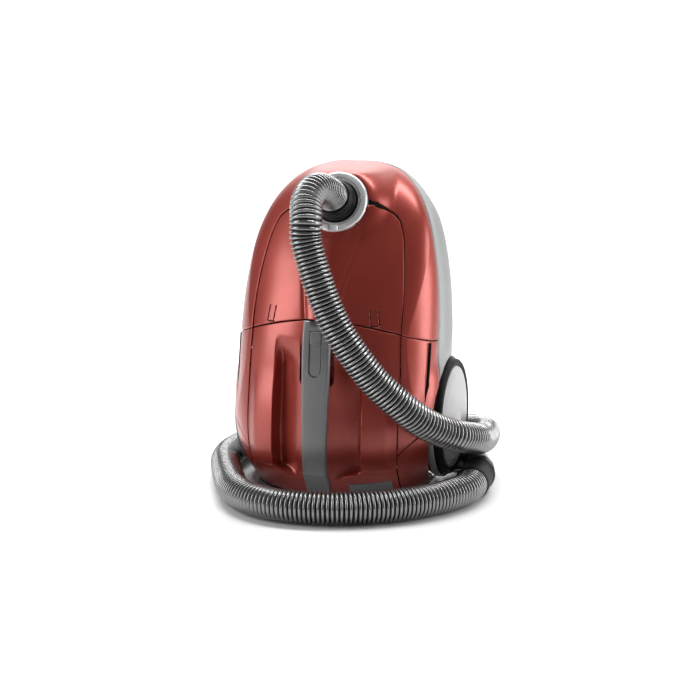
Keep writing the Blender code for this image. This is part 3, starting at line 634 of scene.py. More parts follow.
HOSE_D = 0.0404
HOSE_ROUTE = [  # centre line from the inlet cuff to the hose-end cuff, millimetres, as in the CAD
    (2, -33.6, 381.8), (2, -50, 389), (0, -72, 395), (-3, -96, 394), (-4, -116, 381),
    (-0.5, -128, 360), (0.1, -130, 338.9), (6.2, -131, 316), (14.1, -132, 293.2),
    (25.6, -132, 261.8), (41.6, -130, 227.8), (62.1, -124, 194.4), (84.7, -114, 162.7),
    (112.1, -100, 132.8), (133.6, -82, 110.9), (152.5, -61, 95.7), (170.1, -38, 85.1),
    (182.4, 0, 74.3), (180.1, 42, 64.3), (176, 80, 58), (168, 117, 56), (142, 149, 51),
    (104, 165, 41), (56, 171, 29), (2, 172, 21), (-54, 170, 21), (-114, 150, 21), (-156, 107, 21),
    (-167, 52, 21), (-160, 2, 21), (-142, -44, 21), (-117, -96, 21), (-91, -144, 21),
    (-57, -178, 21), (-12, -194, 21), (40, -191, 21), (88, -173, 21), (130, -143, 21),
    (162, -104, 21), (181, -66, 21), (186.5, -40, 21.5), (185.5, -18, 22)]
HANDLE_ROUTE = [  # centre line of the handle tube behind the machine, after its straight start
    (174, 70, 19.5), (163, 95, 18), (139, 114, 18), (100, 123, 18), (40, 124, 18), (-60, 124, 18)]
RIB_PITCH = 0.0052


def even_points(route, count):
    """Evenly spaced points, in metres, along the smooth curve through a route."""
    last = len(route) - 1
    lines = [smooth_line([(k, p[axis]) for k, p in enumerate(route)]) for axis in range(3)]
    steps = np.linspace(0, last, 40 * last + 1)
    fine = np.stack([line(steps) for line in lines], axis=1) * MM
    fine[:, 1] += MIDDLE_Y
    run = np.concatenate([[0], np.cumsum(np.linalg.norm(np.diff(fine, axis=0), axis=1))])
    goal = np.linspace(0, run[-1], count)
    return np.stack([np.interp(goal, run, fine[:, axis]) for axis in range(3)], axis=1), run[-1]


def along_frames(points):
    """Two directions across a line at each point, carried along without twist."""
    ahead = np.gradient(points, axis=0)
    ahead /= np.linalg.norm(ahead, axis=1, keepdims=True)
    across = np.zeros_like(points)
    start = np.cross(ahead[0], [0, 0, 1.0])
    across[0] = start / np.linalg.norm(start)
    for k in range(1, len(points)):
        side = across[k - 1] - ahead[k] * np.dot(across[k - 1], ahead[k])
        across[k] = side / np.linalg.norm(side)
    return across, np.cross(ahead, across)


def rings_along(name, points, stations, sides, material, angle=60):
    """Rings at (index, radius) stations of a line, closed at both ends."""
    across, over = along_frames(points)
    turn = np.linspace(0, 2 * math.pi, sides, endpoint=False)
    verts = []
    for k, r in stations:
        ring = np.cos(turn)[:, None] * across[k] + np.sin(turn)[:, None] * over[k]
        verts.append(points[k] + r * ring)
    return made(name, np.concatenate(verts), bar_faces(len(stations), sides), material, angle)


def hose():
    """The corrugated hose: rounded crests over narrow valleys painted near-black as shade, at its
    real length.
    """
    profile = [0.0, 0.55, 0.90, 1.0, 0.97, 0.76, 0.24]    # one rib, valley to valley
    depth = 0.0034
    _, length = even_points(HOSE_ROUTE, 10)
    ribs = round(length / RIB_PITCH)
    points, length = even_points(HOSE_ROUTE, ribs * len(profile) + 1)
    stations = [(k, HOSE_D / 2 - depth * (1 - profile[k % len(profile)]))
                for k in range(len(points))]
    sides = 28
    obj = rings_along("suction_hose", points, stations, sides, HOSE_CREST)
    # The valley rows at both ends of each rib take the near-black material: painted shade in the
    # grooves.
    obj.data.materials.append(HOSE_VALLEY_SHADE)
    for face in obj.data.polygons:
        row = face.index // sides
        if face.index < (len(points) - 1) * sides and row % len(profile) in (0, 6):
            face.material_index = 1
    path = [tuple(p) for p in points[::len(profile)]]
    return obj, path, length, points


def hose_set():
    tube, path, length, points = hose()
    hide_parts("hose")
    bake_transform(tube)
    end = Vector(points[-1])
    along = Vector(points[-1] - points[-3]).normalized()
    outline = [(0.0165, -0.012), (0.0212, -0.012), (0.0222, -0.009), (0.0222, 0.001),
               (0.0214, 0.003), (0.0214, 0.030), (0.0224, 0.032), (0.0224, 0.038),
               (0.0205, CUFF_LENGTH), (0.0165, CUFF_LENGTH)]
    cuff = turned("hose_end_cuff_black", rounded_outline(outline, 0.0008), end, along, MATT_BLACK,
                  64)
    settle(cuff, "body", "black_plastic", "hose_end_cuff")
    handle = handle_tube(end, along)
    slider = suction_slider()
    tuple(points[0])
    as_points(path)


# ---- shells -------------------------------------------------------------------------------------

def lid():
    """The lid with its spine, the ring's hole and the fine lines round its hinge covers."""
    hole = RING_R - 0.0065

    def half(z):
        return lid_half_mm(z / MM) * MM - 0.0020 * step01(z, 0.345, 0.360)

    def high(x):
        off = np.abs(x - INLET.x)
        arc = INLET.z - math.cos(INLET_TILT) * np.sqrt(np.maximum(hole**2 - off**2, 0))
        rise = 0.0035 * np.clip((0.062 - off) / 0.016, 0, 1)
        return np.where(off < hole, np.minimum(arc, LID_TOP + 0.0035), LID_TOP + rise) - 0.0004
    obj = patch("lid_shell", lambda z: -half(z), half, lambda x: lid_seam(x) + LID_GAP, high,
                spaced(230, 0.19), spaced(150, 0.13), RED, (lid_relief,))
    lines = [line for side in (-1, 1) for line in hinge_lines(side)]
    cut(obj, *[rounded_box("hinge_line_cutter", size, (0, 0, 0), RED, 0.0001, 1, place)
               for size, place in lines])
    settle(obj, "lid", "shell_red", "lid")
    # Matt black bars laid in the hinge grooves just under the surface: painted shade for the
    # grooves' darkness.
    for size, place in lines:
        fill = rounded_box("hinge_line_fill", (size[0], 0.0010, size[2]), (0, 0.0014, 0),
                           MATT_BLACK, 0.0001, 1)
        fill.data.transform(place)
        settle(fill, "lid", "black_plastic")


def hinge_lines(side):
    """Sizes and places of the fine grooves round a hinge cover: two uprights and a sill."""
    x = side * HINGE_COVER_X
    low = float(lid_seam(x)) + LID_GAP
    step = 0.005
    upright = (0.0018, 0.0036, 0.021)
    sill = (0.0112, 0.0036, 0.0018)
    lines = []
    for dx, dz, size in ((-0.0047, 0.0125, upright), (0.0047, 0.0125, upright), (0, 0.0024, sill)):
        z = low + dz
        y = front_at(x + dx, z)
        above = front_at(x + dx, z + step)
        lean = Matrix.Rotation(-math.atan2(above - y, step), 4, "X")
        beside = front_at(x + dx + step, z)
        swing = Matrix.Rotation(math.atan2(beside - y, step), 4, "Z")
        lines.append((size, Matrix.Translation((x + dx, y, z)) @ swing @ lean))
    return lines


def upper_frame():
    """The arch round the lid, swept from one end of the horizontal seam to the other."""
    centre_z = 0.236
    hole = RING_R + 0.0006

    def reach(angles, inside):
        near = np.zeros_like(angles)
        far = np.full_like(angles, 0.3)
        for _ in range(40):
            r = (near + far) / 2
            within = inside(r * np.cos(angles), centre_z + r * np.sin(angles))
            near = np.where(within, r, near)
            far = np.where(within, far, r)
        return near

    def in_lid(x, z):
        rise = (z - INLET.z) / math.cos(INLET_TILT)
        ring = np.hypot(x - INLET.x, rise) < hole
        grip = FINGER_NOTCH * np.clip((0.068 - np.abs(x)) / 0.024, 0, 1)
        low_z = z - grip
        inside = np.abs(x) < lid_half_mm(low_z / MM) * MM + SEAM
        return ((low_z < LID_TOP + SEAM) & inside) | ring

    def in_body(x, z):
        return (z < TOP) & (np.abs(x) < half_width(z))

    along = spaced(330, 0.62)
    across = spaced(46, 0.05, lambda t: np.sin(t * math.pi / 2))

    def angles(x):
        start = math.atan2(float(lid_seam(x)) + SEAM / 2 - centre_z, x)
        return start + (math.pi - 2 * start) * along
    inner_angle = angles(0.0993 + SEAM)
    outer_angle = angles(0.1315)
    inner = reach(inner_angle, in_lid)
    outer = reach(outer_angle, in_body)
    inner_xz = np.stack([inner * np.cos(inner_angle), centre_z + inner * np.sin(inner_angle)], 1)
    outer_xz = np.stack([outer * np.cos(outer_angle), centre_z + outer * np.sin(outer_angle)], 1)
    t = across[None, :, None]
    flat = inner_xz[:, None] * (1 - t) + outer_xz[:, None] * t
    x = flat[:, :, 0]
    z = flat[:, :, 1]
    y = np.minimum(front(x, z) + crest(x, z), parting(z) - SEAM / 2)
    obj = shell_from("frame_arch", np.stack([x, y, z], axis=2), RED)
    settle(obj, "body", "shell_red", "upper_frame")
    lip(inner_angle, inner, centre_z)


def lip(angles, reach, centre_z):
    """The dark landing that the lid's edge rests on, just under the frame's inner edge."""
    keep = np.hypot(reach * np.cos(angles) - INLET.x, reach * np.sin(angles) + centre_z
                    - INLET.z) > RING_R + 0.0012
    parts = np.split(np.arange(len(keep)), np.where(np.diff(keep.astype(int)) != 0)[0] + 1)
    out = np.array([0.004, 0.0, -0.006])
    for part in parts:
        if len(part) < 4 or not keep[part[0]]:
            continue
        r = reach[part][:, None] + out
        x = r * np.cos(angles[part])[:, None]
        z = centre_z + r * np.sin(angles[part])[:, None]
        y = front(x, z) + 0.0036
        strip = shell_from("frame_lip", np.stack([x, y, z], axis=2), MATT_BLACK, 0.0002, 0.0014)
        settle(strip, "body", "black_plastic")


def rear_cover():
    """The red cover between the flanks, with its finger hollows and pods."""
    def half(z):
        return cover_half_mm(z / MM) * MM - SEAM
    obj = patch("rear_cover_shell", lambda z: -half(z), half, lambda x: BASE + 0 * x,
                lambda x: lid_seam(x) - SEAM / 2, spaced(260, 0.2), spaced(260, 0.22), RED,
                (scoops, pods))
    settle(obj, "body", "shell_red", "rear_cover")


def well_cutter(side, extra):
    """A round cutter for the opening that a rear wheel stands in."""
    outline = [(WHEEL_R + extra, -0.03), (WHEEL_R + extra, 0.05)]
    at = (side * (HALF_WIDTH - 0.012), WHEEL.y, WHEEL.z)
    return turned("well_cutter", outline, at, RIGHT * side, None, 160, closed=False)


def flank(name, side, low, high, rows, height, gap, edge_gap):
    """A red piece between the rear cover's side seam and the parting line."""
    def inner(z):
        return side * cover_half_mm(z / MM) * MM

    def outer(z):
        return side * half_width(z)
    obj = patch(name, inner, outer, low, high,
                spaced(70, 0.04, lambda t: np.sin(t * math.pi / 2)), spaced(rows, height), RED,
                (crest,), edge_gap)
    cut(obj, well_cutter(side, gap))
    return obj


def flanks():
    for side, label in ((-1, "left"), (1, "right")):
        panel = flank(label + "_flank", side, lambda x: diagonal(x) + SEAM / 2,
                      lambda x: lid_seam(x) - SEAM / 2, 170, 0.15, ARCH + 0.0003, SEAM / 2)
        cut(panel, groove(side, -0.004, 0.0023, None))
        # A matt black strip a millimetre under the surface inside the groove: painted shade for the
        # slot's darkness.
        settle(groove(side, 0.0010, 0.0021, MATT_BLACK), "body", "black_plastic")
        settle(panel, "body", "shell_red", label + "_side_panel")
    travel = joint("power_press")["range_m"][1]
    for side, label, body in ((-1, "rewind", "rewind_button"), (1, "power", "power_button")):
        pedal = flank(label + "_pedal_block", side, lambda x: BASE + 0.001 + 0 * x,
                      lambda x: diagonal(x) - SEAM / 2, 70, 0.06, ARCH + travel + 0.0004,
                      travel + SEAM)
        settle(pedal, body, "shell_red", label + "_pedal")


def groove(side, shallow, deep, material):
    """The narrow upright groove in the flank, just inside the parting line, between two depths;
    with a material, it is the black strip of painted shade laid in the groove.
    """
    heights = np.linspace(0.113, 0.199, 24)
    half = 0.0015
    points = []
    for z in heights:
        x = float(half_width(z)) - 0.0062 - 0.0008 * (0.2 - z) / 0.08
        y = front_at(x, z)
        for dx, dy in ((-half, shallow), (half, shallow), (half, deep), (-half, deep)):
            points.append((side * (x + dx + dy * 0.4), y + dy, z))
    return made("flank_groove", points, bar_faces(len(heights), 4), material)


def lower_casing():
    """The silver-grey shell from the parting line round the back."""
    heights = np.concatenate([np.linspace(BASE, 0.38, 120), np.linspace(0.382, 0.412, 30),
                              TOP - np.geomspace(0.0075, 0.00005, 24), [TOP]])
    heights = np.concatenate([[BASE, BASE + 0.0004, BASE + 0.0009, BASE + 0.0015], heights[1:]])
    turn = spaced(180, 0.45) * math.pi
    z, angle = np.meshgrid(heights, turn, indexing="ij")
    side = np.sign(np.cos(angle)) * np.abs(np.cos(angle))**0.4
    depth = np.abs(np.sin(angle))**0.4
    back = back_mm(z / MM) * MM + MIDDLE_Y
    swell = SWELL * step01(z, 0.165, 0.200) * (1 - step01(z, 0.340, 0.400))
    x = (half_width(z) + swell * step01(depth, 0.2, 0.7)) * side
    y = np.maximum(parting(z) + (back - parting(z)) * depth, parting(z) + SEAM / 2)
    points = np.stack([x + flare(x, y, z), y, z], axis=2)
    obj = shell_from("casing_shell", points, SILVER, 0.0010)
    low, high = box("exhaust_grille")
    grille = rounded_box("grille_cutter", (high.x - low.x + 0.001, 0.03, high.z - low.z + 0.001),
                         ((low.x + high.x) / 2, high.y, (low.z + high.z) / 2), SILVER, 0.002)
    outlet = turned("outlet_cutter", [(0.0094, -0.02), (0.0094, 0.02)], middle("cord_outlet"),
                    BACK, None, 48, closed=False)
    swivel = Vector(joint("caster_swivel")["pos_m"])
    stem = turned("caster_cutter", [(0.0155, -0.02), (0.0155, 0.02)], swivel, BACK, None, 64,
                  closed=False)
    cut(obj, well_cutter(-1, ARCH - 0.0002), well_cutter(1, ARCH - 0.0002), grille, outlet, stem)
    for vertex in obj.data.vertices:
        vertex.co.z = min(vertex.co.z, TOP)
    settle(obj, "body", "casing_silver", "lower_casing")
    for sign in (-1, 1):
        wheel_well(sign)


def wheel_well(side):
    """The dark cup behind each rear wheel and the casing's grey arch round it."""
    label = side_label(side)
    rim = WHEEL_R + 0.0018
    arch_r = WHEEL_R + ARCH - 0.0004
    at = Vector((side * (HALF_WIDTH - 0.010), WHEEL.y, WHEEL.z))
    outline = [(0.007, -0.0024), (rim, -0.0024), (rim, 0.004), (rim - 0.0014, 0.004),
               (rim - 0.0014, 0), (0.007, 0)]
    cup = turned("wheel_well_" + label, rounded_outline(outline, 0.0004, 2),
                 at, RIGHT * side, MATT_BLACK, 128)
    outline = [(rim + 0.0002, 0.001), (arch_r, 0.001), (arch_r, 0.0105), (rim + 0.0002, 0.0105)]
    arch = turned("wheel_arch_" + label, rounded_outline(outline, 0.0009), at, RIGHT * side,
                  SILVER, 160)
    behind = Vector((0.1, 0.05, 0.2))
    trim_at = Vector((at.x, CASING_HIGH.y - 0.0015 + behind.y / 2, at.z))
    for piece, look in ((cup, "black_plastic"), (arch, "casing_silver")):
        cut(piece, rounded_box("well_trim", behind, trim_at, SILVER, 0.0001, 1))
        settle(piece, "body", look)


def carry_handle():
    """The grey strip down the middle, curved over at both ends, with its slider's slot."""
    low = 0.0085
    high = LID_SEAM_Z - 0.0012
    heights = low + (high - low) * spaced(160, 0.22)
    across = np.concatenate([np.linspace(-1, -0.82, 7), np.linspace(-0.78, 0.78, 25),
                             np.linspace(0.82, 1, 7)])
    z, u = np.meshgrid(heights, across, indexing="ij")
    half = HANDLE_HALF - 0.0025 * (1 - step01(z, 0.05, 0.2))
    x = half * u
    edge = np.clip((np.abs(u) - 0.82) / 0.18, 0, 1)
    crown_drop = 0.0012 * u**2 + HANDLE_THICK * (1 - np.sqrt(np.maximum(1 - edge**2, 0)))
    ends = np.minimum(z - low, high - z)
    end_drop = 0.0025 * (1 - np.sqrt(np.maximum(1 - (1 - np.clip(ends / 0.0025, 0, 1))**2, 0)))
    dimple = 0.0044 * np.clip(1 - (x / 0.0095)**2 - ((z - high) / 0.0075)**2, 0, 1)**0.7
    y = front(0 * x, z) - HANDLE_THICK + crown_drop + end_drop + dimple
    back = front(x, z) - 0.0003
    rows, columns = x.shape
    top = np.stack([x, np.minimum(y, back - 0.0002), z], axis=2).reshape(-1, 3)
    under = np.stack([x, back, z], axis=2).reshape(-1, 3)
    count = rows * columns
    faces = grid_faces(rows, columns)
    faces += [tuple(i + count for i in face) for face in grid_faces(rows, columns)]
    rim = ([c for c in range(columns)] + [r * columns + columns - 1 for r in range(1, rows)]
           + [(rows - 1) * columns + c for c in range(columns - 2, -1, -1)]
           + [r * columns for r in range(rows - 2, 0, -1)])
    faces += [(a, b, b + count, a + count) for a, b in zip(rim, rim[1:] + rim[:1])]
    obj = made("handle_strip", np.concatenate([top, under]), faces, GREY, 30)
    low_knob, high_knob = box("power_slider")
    centre = (low_knob + high_knob) / 2
    travel = joint("power_slide")["range_m"][1]
    cut(obj, slot_block(centre, travel, 0.0082, -0.006, 0.0042, None))
    settle(obj, "body", "handle_grey", "carry_handle")
    tongue = slot_block(centre, travel, 0.0070, 0.0012, 0.0042, GREY)
    settle(tongue, "body", "handle_grey")
    return centre


def slot_block(centre, travel, half, shallow, deep, material):
    """The slot's shape in the handle, with its round lower end, between two depths."""
    top = centre.z + 0.0090
    bottom = centre.z - travel - 0.0042 - half
    rows = np.concatenate([np.linspace(top, bottom + half, 30),
                           bottom + half - half * np.sin(np.linspace(0.15, 1.5, 10))])
    points = []
    for z in rows:
        below = max(bottom + half - z, 0)
        width = math.sqrt(half**2 - below**2)
        face = front_at(0.0, z) - HANDLE_THICK
        points += [(-width, face + shallow, z), (width, face + shallow, z),
                   (width, face + deep, z), (-width, face + deep, z)]
    return made("handle_slot", points, bar_faces(len(rows), 4), material)


def power_knob(centre):
    """The slider's knob: a flat plate with a ridge to push at its lower edge."""
    slope = 0.139
    lean = Matrix.Rotation(-math.atan(slope), 4, "X")
    face = front_at(0.0, centre.z) - HANDLE_THICK
    plate = rounded_box("power_knob_plate", (0.0142, 0.0026, 0.0156), (0, face + 0.0008, centre.z),
                        GREY, 0.0007, 3, lean)
    ridge = rounded_box("power_knob_ridge", (0.0120, 0.0030, 0.0020),
                        (0, face - 0.0008, centre.z - 0.0060), GREY, 0.0008, 3, lean)
    settle(plate, "power_knob", "handle_grey", "power_slider")
    settle(ridge, "power_knob", "handle_grey")


# ---- inlet --------------------------------------------------------------------------------------

def inlet():
    """The silver ring on the lid, with the black swivel cuff in it."""
    ring = [(0.0278, -0.009), (RING_R, -0.009), (RING_R, 0.0020), (RING_R - 0.0012, 0.0042),
            (RING_R - 0.0040, 0.0055), (RING_R - 0.0080, 0.0052), (0.0310, 0.0030),
            (0.0290, 0.0030), (0.0278, 0.0020)]
    obj = turned("ring", rounded_outline(ring, 0.0012), INLET, INLET_AXIS, TRIM, 160)
    down = Vector((1, 0, 0)).cross(INLET_AXIS).normalized()
    if down.z > 0:
        down = -down
    notch = rounded_box("notch_cutter", (0.0120, 0.0075, 0.004),
                        INLET + down * 0.0355 + INLET_AXIS * 0.0058, TRIM, 0.0006, 2,
                        facing(INLET_AXIS))
    cut(obj, notch)
    settle(obj, "lid", "trim_silver", "inlet_ring")
    cuff = [(0.0165, -0.009), (0.0266, -0.009), (0.0266, 0.0060), (0.0255, 0.0076),
            (0.0243, 0.0080), (0.0240, 0.0095), (0.0250, 0.0102), (0.0250, 0.0148),
            (0.0240, 0.0156), (0.0236, 0.0170), (0.0236, 0.0196), (0.0222, 0.0214),
            (0.0165, 0.0214)]
    obj = turned("swivel_cuff", rounded_outline(cuff, 0.0007), INLET, INLET_AXIS, BLACK, 128)
    settle(obj, "inlet_swivel", "black_plastic", "inlet_cuff")


# ---- wheels -------------------------------------------------------------------------------------

def rear_wheel(side):
    """Grooved tyre, dark rim and the light cap with its shallow dome."""
    label = side_label(side)
    body = label + "_wheel"
    at = Vector((side * (WHEEL.x + WHEEL_STANDS_OUT[label]), WHEEL.y, WHEEL.z))
    out = RIGHT * side
    r = WHEEL_R
    tyre = [(r - 0.0046, -0.0140), (r - 0.0020, -0.0139), (r - 0.0004, -0.0120), (r, -0.0100),
            (r, -0.0088), (r - 0.0008, -0.0084), (r - 0.0008, -0.0076), (r, -0.0072),
            (r, -0.0052), (r - 0.0008, -0.0028), (r - 0.0026, -0.0012), (r - 0.0046, -0.0010)]
    obj = turned("tyre_" + label, rounded_outline(tyre, 0.0008), at, out, RUBBER, 192)
    settle(obj, body, "tyre", label + "_tyre")
    rim = [(0.0064, -0.0140), (r - 0.0050, -0.0140), (r - 0.0050, -0.0012), (r - 0.0062, -0.0010),
           (r - 0.0090, -0.0022), (r - 0.0092, -0.0050), (0.0064, -0.0050)]
    obj = turned("rim_" + label, rounded_outline(rim, 0.0006), at, out, MATT_BLACK, 128)
    settle(obj, body, "black_plastic", label + "_wheel_rim")
    edge = r - 0.0096
    cap = [(0.0, 0.0029), (0.020, 0.0027), (0.040, 0.0019), (0.0560, 0.0006), (0.0580, 0.0000),
           (0.0590, -0.0001), (0.0625, -0.0008), (edge - 0.0008, -0.0018), (edge, -0.0028),
           (edge, -0.0046), (0.0, -0.0046)]
    obj = turned("cap_" + label, cap[:1] + rounded_outline(cap[1:-1], 0.0010) + cap[-1:], at, out,
                 CAP_SILVER, 160)
    settle(obj, body, "trim_silver", label + "_wheel_cap")


def caster():
    """The small swivelling wheel on the underside."""
    swivel = Vector(joint("caster_swivel")["pos_m"])
    axle = Vector(joint("caster_spin")["pos_m"])
    post = [(0.0005, -0.0040), (0.0145, -0.0040), (0.0145, 0.0052), (0.0135, 0.0060),
            (0.0005, 0.0060)]
    obj = turned("caster_post", rounded_outline(post, 0.0006), swivel, BACK, BLACK, 96)
    recess = turned("caster_recess", [(0.0137, -0.0086), (0.0137, 0.0086)], axle, RIGHT, BLACK, 64,
                    closed=False)
    cut(obj, recess)
    settle(obj, "caster", "black_plastic", "caster_fork")
    for side in (-1, 1):
        arm = rounded_box("caster_arm", (0.0026, 0.0140, 0.0120),
                          (side * 0.0100, swivel.y + 0.009, axle.z), BLACK, 0.0011)
        settle(arm, "caster", "black_plastic")
    wheel = [(0.0023, -0.0080), (0.0070, -0.0080), (0.0075, -0.0070), (0.0095, -0.0070),
             (0.0100, -0.0080), (0.0113, -0.0080), (0.0125, -0.0066), (0.0125, 0.0066),
             (0.0113, 0.0080), (0.0100, 0.0080), (0.0095, 0.0070), (0.0075, 0.0070),
             (0.0070, 0.0080), (0.0023, 0.0080)]
    obj = turned("caster_roller", rounded_outline(wheel, 0.0005), axle, RIGHT, RUBBER, 96)
    settle(obj, "caster_roller", "rubber", "caster_wheel")
    pin = rounded_outline([(0.0002, -0.011), (0.0019, -0.011), (0.0019, 0.011), (0.0002, 0.011)],
                          0.0004)
    obj = turned("caster_pin", pin, axle, RIGHT, STEEL, 48)
    settle(obj, "caster", "steel", "caster_axle")


# ---- underside, base and the tube on the hose ---------------------------------------------------

def joined(name, pieces):
    """Several meshes as one object."""
    target = pieces[0]
    bm = bmesh.new()
    for piece in pieces:
        bm.from_mesh(piece.data)
    bm.to_mesh(target.data)
    bm.free()
    target.name = name
    for piece in pieces[1:]:
        bpy.data.objects.remove(piece, do_unlink=True)
    return target


def exhaust_grille():
    low, high = box("exhaust_grille")
    width = high.x - low.x
    height = high.z - low.z
    y = (low.y + high.y) / 2
    thick = high.y - low.y
    mid = (low.z + high.z) / 2
    rail = 0.0060
    bars = [rounded_box("rail", (rail, thick, height), (side * (width - rail) / 2, y, mid),
                        MATT_BLACK, 0.0007) for side in (-1, 1)]
    bars += [rounded_box("rail", (width, thick, 0.0045),
                         (0, y, mid + side * (height - 0.0045) / 2), MATT_BLACK, 0.0007)
             for side in (-1, 1)]
    for k in range(-4, 5):
        bars.append(rounded_box("bar", (width - 0.004, thick * 0.8, 0.0026),
                                (0, y, mid + k * 0.0062), MATT_BLACK, 0.0006, 2,
                                Matrix.Rotation(math.radians(25), 4, "X")))
    settle(joined("grille_bars", bars), "body", "black_plastic", "exhaust_grille")


def parking_bracket():
    """The T-shaped pocket that takes the hook of a floor nozzle."""
    low, high = box("parking_socket")
    mid = (low + high) / 2
    size = high - low
    slabs = [((size.x, 0.0011, size.z), (0, low.y + 0.00055, mid.z)),
             ((size.x, size.y, 0.0036), (0, mid.y, low.z + 0.0018))]
    for side in (-1, 1):
        slabs.append(((0.0050, size.y, size.z), (side * (size.x - 0.0050) / 2, mid.y, mid.z)))
        slabs.append(((0.0140, 0.0034, size.z), (side * (size.x - 0.0140) / 2, high.y - 0.0017,
                                                 mid.z)))
    parts = [rounded_box("bracket_part", dims, at, BLACK, 0.0005, 2) for dims, at in slabs]
    settle(joined("parking_bracket", parts), "body", "black_plastic", "parking_socket")


def outlet():
    ring = [(0.0050, -0.0040), (0.0090, -0.0040), (0.0090, 0.0022), (0.0082, 0.0030),
            (0.0062, 0.0030), (0.0050, 0.0012)]
    at = middle("cord_outlet") + BACK * 0.0005
    obj = turned("cord_outlet_ring", rounded_outline(ring, 0.0007), at, BACK, BLACK, 64)
    settle(obj, "body", "black_plastic", "cord_outlet")


def base():
    """The plate that closes the lower end, on its four rubber feet."""
    low, high = box("base_plate")
    angle = np.linspace(0, 2 * math.pi, 240, endpoint=False)
    back = back_mm(BASE / MM) * MM + MIDDLE_Y
    part_y = float(parting(BASE))
    share = 0.97
    half = float(half_width(np.array(BASE))) * share
    power = np.where(np.sin(angle) > 0, 2 / 5.0, 2 / 2.3)
    depth = np.where(np.sin(angle) > 0, back - part_y, part_y - front_at(0.0, BASE)) * share
    loops = []
    for height, inset in ((low.z, 0.0022), (low.z + 0.0003, 0.0010), (low.z + 0.0012, 0.0),
                          (high.z - 0.0003, 0.0)):
        x = (half - inset) * np.sign(np.cos(angle)) * np.abs(np.cos(angle))**power
        y = part_y + (depth - inset) * np.sign(np.sin(angle)) * np.abs(np.sin(angle))**power
        loops.append(np.stack([x, y, np.full_like(x, height)], axis=1))
    faces = bar_faces(len(loops), len(angle))
    obj = made("base_panel", np.concatenate(loops), faces, MATT_BLACK, 40)
    settle(obj, "body", "black_plastic", "base_plate")
    for name in ("foot_front_left", "foot_front_right", "foot_back_left", "foot_back_right"):
        low, high = box(name)
        r = (high.x - low.x) / 2
        foot = [(0.0004, low.z), (r - 0.0012, low.z), (r, low.z + 0.0010), (r, high.z),
                (0.0004, high.z)]
        at = middle(name) * Vector((1, 1, 0))
        obj = turned(name + "_pad", rounded_outline(foot, 0.0005), at, UP, RUBBER, 72)
        settle(obj, "body", "rubber", name)


def foot_plate():
    """The grey plate let into the cover's lower edge, right of the handle."""
    width = np.linspace(0.040, 0.090, 40)
    share = np.linspace(0, 1, 10)
    x, v = np.meshgrid(width, share)
    z = BASE + 0.0050 + v * (0.0115 + 0.0035 * (x - 0.040) / 0.050)
    y = front(x, z) - 0.0012
    obj = shell_from("foot_plate", np.stack([x, y, z], axis=2), GREY, 0.0008, 0.0012)
    settle(obj, "body", "handle_grey")


def dust_bag():
    """The fleece bag in the upper compartment, blown up like a cushion by the cloth solver."""
    low, high = box("dust_bag")
    size = high - low
    mid = (low + high) / 2
    bag = rounded_box("dust_bag_fleece", size - Vector((0.024, 0.022, 0.024)), mid, PAPER, 0.016, 4)
    remesh = bag.modifiers.new("even", "REMESH")
    remesh.mode = "VOXEL"
    remesh.voxel_size = 0.005
    apply_modifiers(bag)
    bag.data.materials.clear()
    bag.data.materials.append(PAPER)
    blow_up(bag)
    smooth = bag.modifiers.new("smooth", "SUBSURF")
    smooth.levels = smooth.render_levels = 1
    apply_modifiers(bag)
    for vertex in bag.data.vertices:
        for axis in range(3):
            vertex.co[axis] = min(max(vertex.co[axis], low[axis] + 0.001), high[axis] - 0.001)
    bag.data.shade_smooth()
    settle(bag, "body", "dust_bag", "dust_bag")


def blow_up(obj):
    """Twenty steps of cloth under pressure, with each point held within reach of its start."""
    start = [vertex.co.copy() for vertex in obj.data.vertices]
    cloth = obj.modifiers.new("cloth", "CLOTH")
    cloth.settings.use_pressure = True
    cloth.settings.uniform_pressure_force = 4
    cloth.settings.effector_weights.gravity = 0
    for step in range(1, 21):
        bpy.context.scene.frame_set(step)
    apply_modifiers(obj)
    bpy.context.scene.frame_set(1)
    reach = 0.010
    for vertex, at in zip(obj.data.vertices, start):
        move = vertex.co - at
        if move.length > reach:
            vertex.co = at + move.normalized() * reach


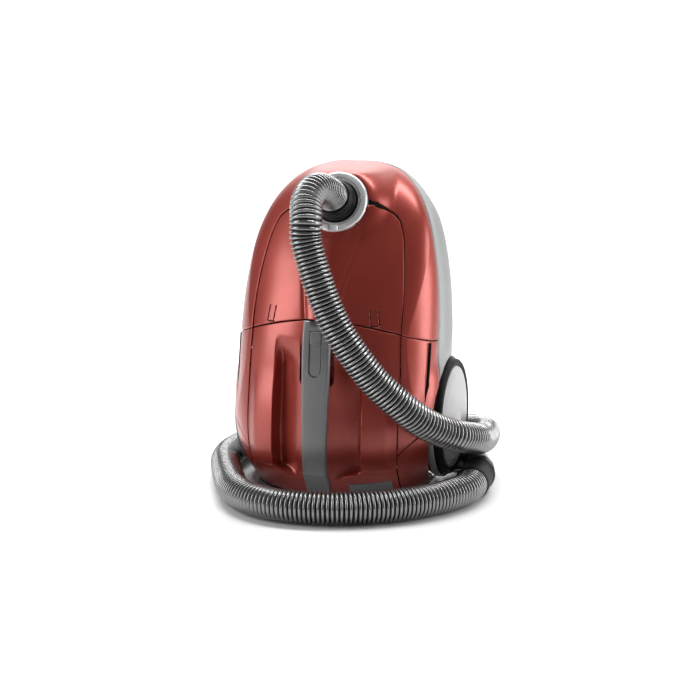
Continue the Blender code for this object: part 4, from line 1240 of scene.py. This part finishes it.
def handle_tube(end, along):
    """The bent tube on the hose's end: collar, grip rings and an open socket for a wand."""
    start = end + along * (CUFF_LENGTH + 0.0015) - BACK * MIDDLE_Y
    route = [tuple(start / MM), tuple((start + along * 0.020) / MM)] + HANDLE_ROUTE
    count = 260
    points, length = even_points(route, count)
    step = length / (count - 1)
    stations = []
    for k in range(count):
        run = k * step
        r = 0.0168
        if run < 0.016:
            r = 0.0180 if 0.001 < run < 0.015 else 0.0172
        if 0.060 < run < 0.150 and (run % 0.010) < 0.0022:
            r = 0.0161
        if run > length - 0.030:
            r = 0.0172
        stations.append((k, r))
    deep = int(0.036 / step)
    stations += [(count - 1, 0.0160), (count - 1, 0.0146), (count - 2, 0.0141)]
    stations += [(k, 0.0140) for k in range(count - 4, count - 1 - deep, -4)]
    obj = rings_along("wand_handle", points, stations, 64, BLACK, 40)
    settle(obj, "body", "black_plastic", "handle_tube")
    return obj


def suction_slider():
    low, high = box("suction_slider")
    mid = (low + high) / 2
    size = high - low
    parts = [rounded_box("slider_plate", tuple(size), mid, GREY, 0.0010)]
    for k in range(-2, 3):
        parts.append(rounded_box("slider_ridge", (0.0012, size.y * 0.8, 0.0014),
                                 mid + Vector((k * 0.003, 0, size.z / 2)), GREY, 0.0004, 2))
    obj = joined("slider_ridged", parts)
    settle(obj, "suction_valve", "handle_grey", "suction_slider")
    return obj


# ---- insides ------------------------------------------------------------------------------------

INSIDE = {
    "black_plastic": MATT_BLACK, "rubber": RUBBER, "white_plastic": WHITE, "steel": STEEL,
    "winding": WINDING, "filter_foam": FOAM, "circuit_board": BOARD, "casing_silver": SILVER,
    "trim_silver": TRIM, "handle_grey": GREY, "dust_bag": PAPER, "shell_red": RED,
    "tyre": RUBBER, "hose": HOSE_CREST}


def insides():
    """Procedural finishes on the CAD pieces that stay in view inside the shells."""
    for obj in list(bpy.data.objects):
        if obj.type != "MESH" or obj.name not in frame["nodes"]:
            continue
        obj.data.materials.clear()
        obj.data.materials.append(INSIDE[part_slot(obj.name)])


def part_slot(node):
    for part in frame["record"]["subparts"]:
        if part.get("node") == node:
            return part["material_slot"]
    return "black_plastic"


# ---- the whole scene ----------------------------------------------------------------------------

camera()
hose_set()
backdrop()
lights()
lid()
upper_frame()
rear_cover()
flanks()
lower_casing()
power_knob(carry_handle())
inlet()
rear_wheel(-1)
rear_wheel(1)
caster()
exhaust_grille()
parking_bracket()
outlet()
base()
foot_plate()
dust_bag()
insides()
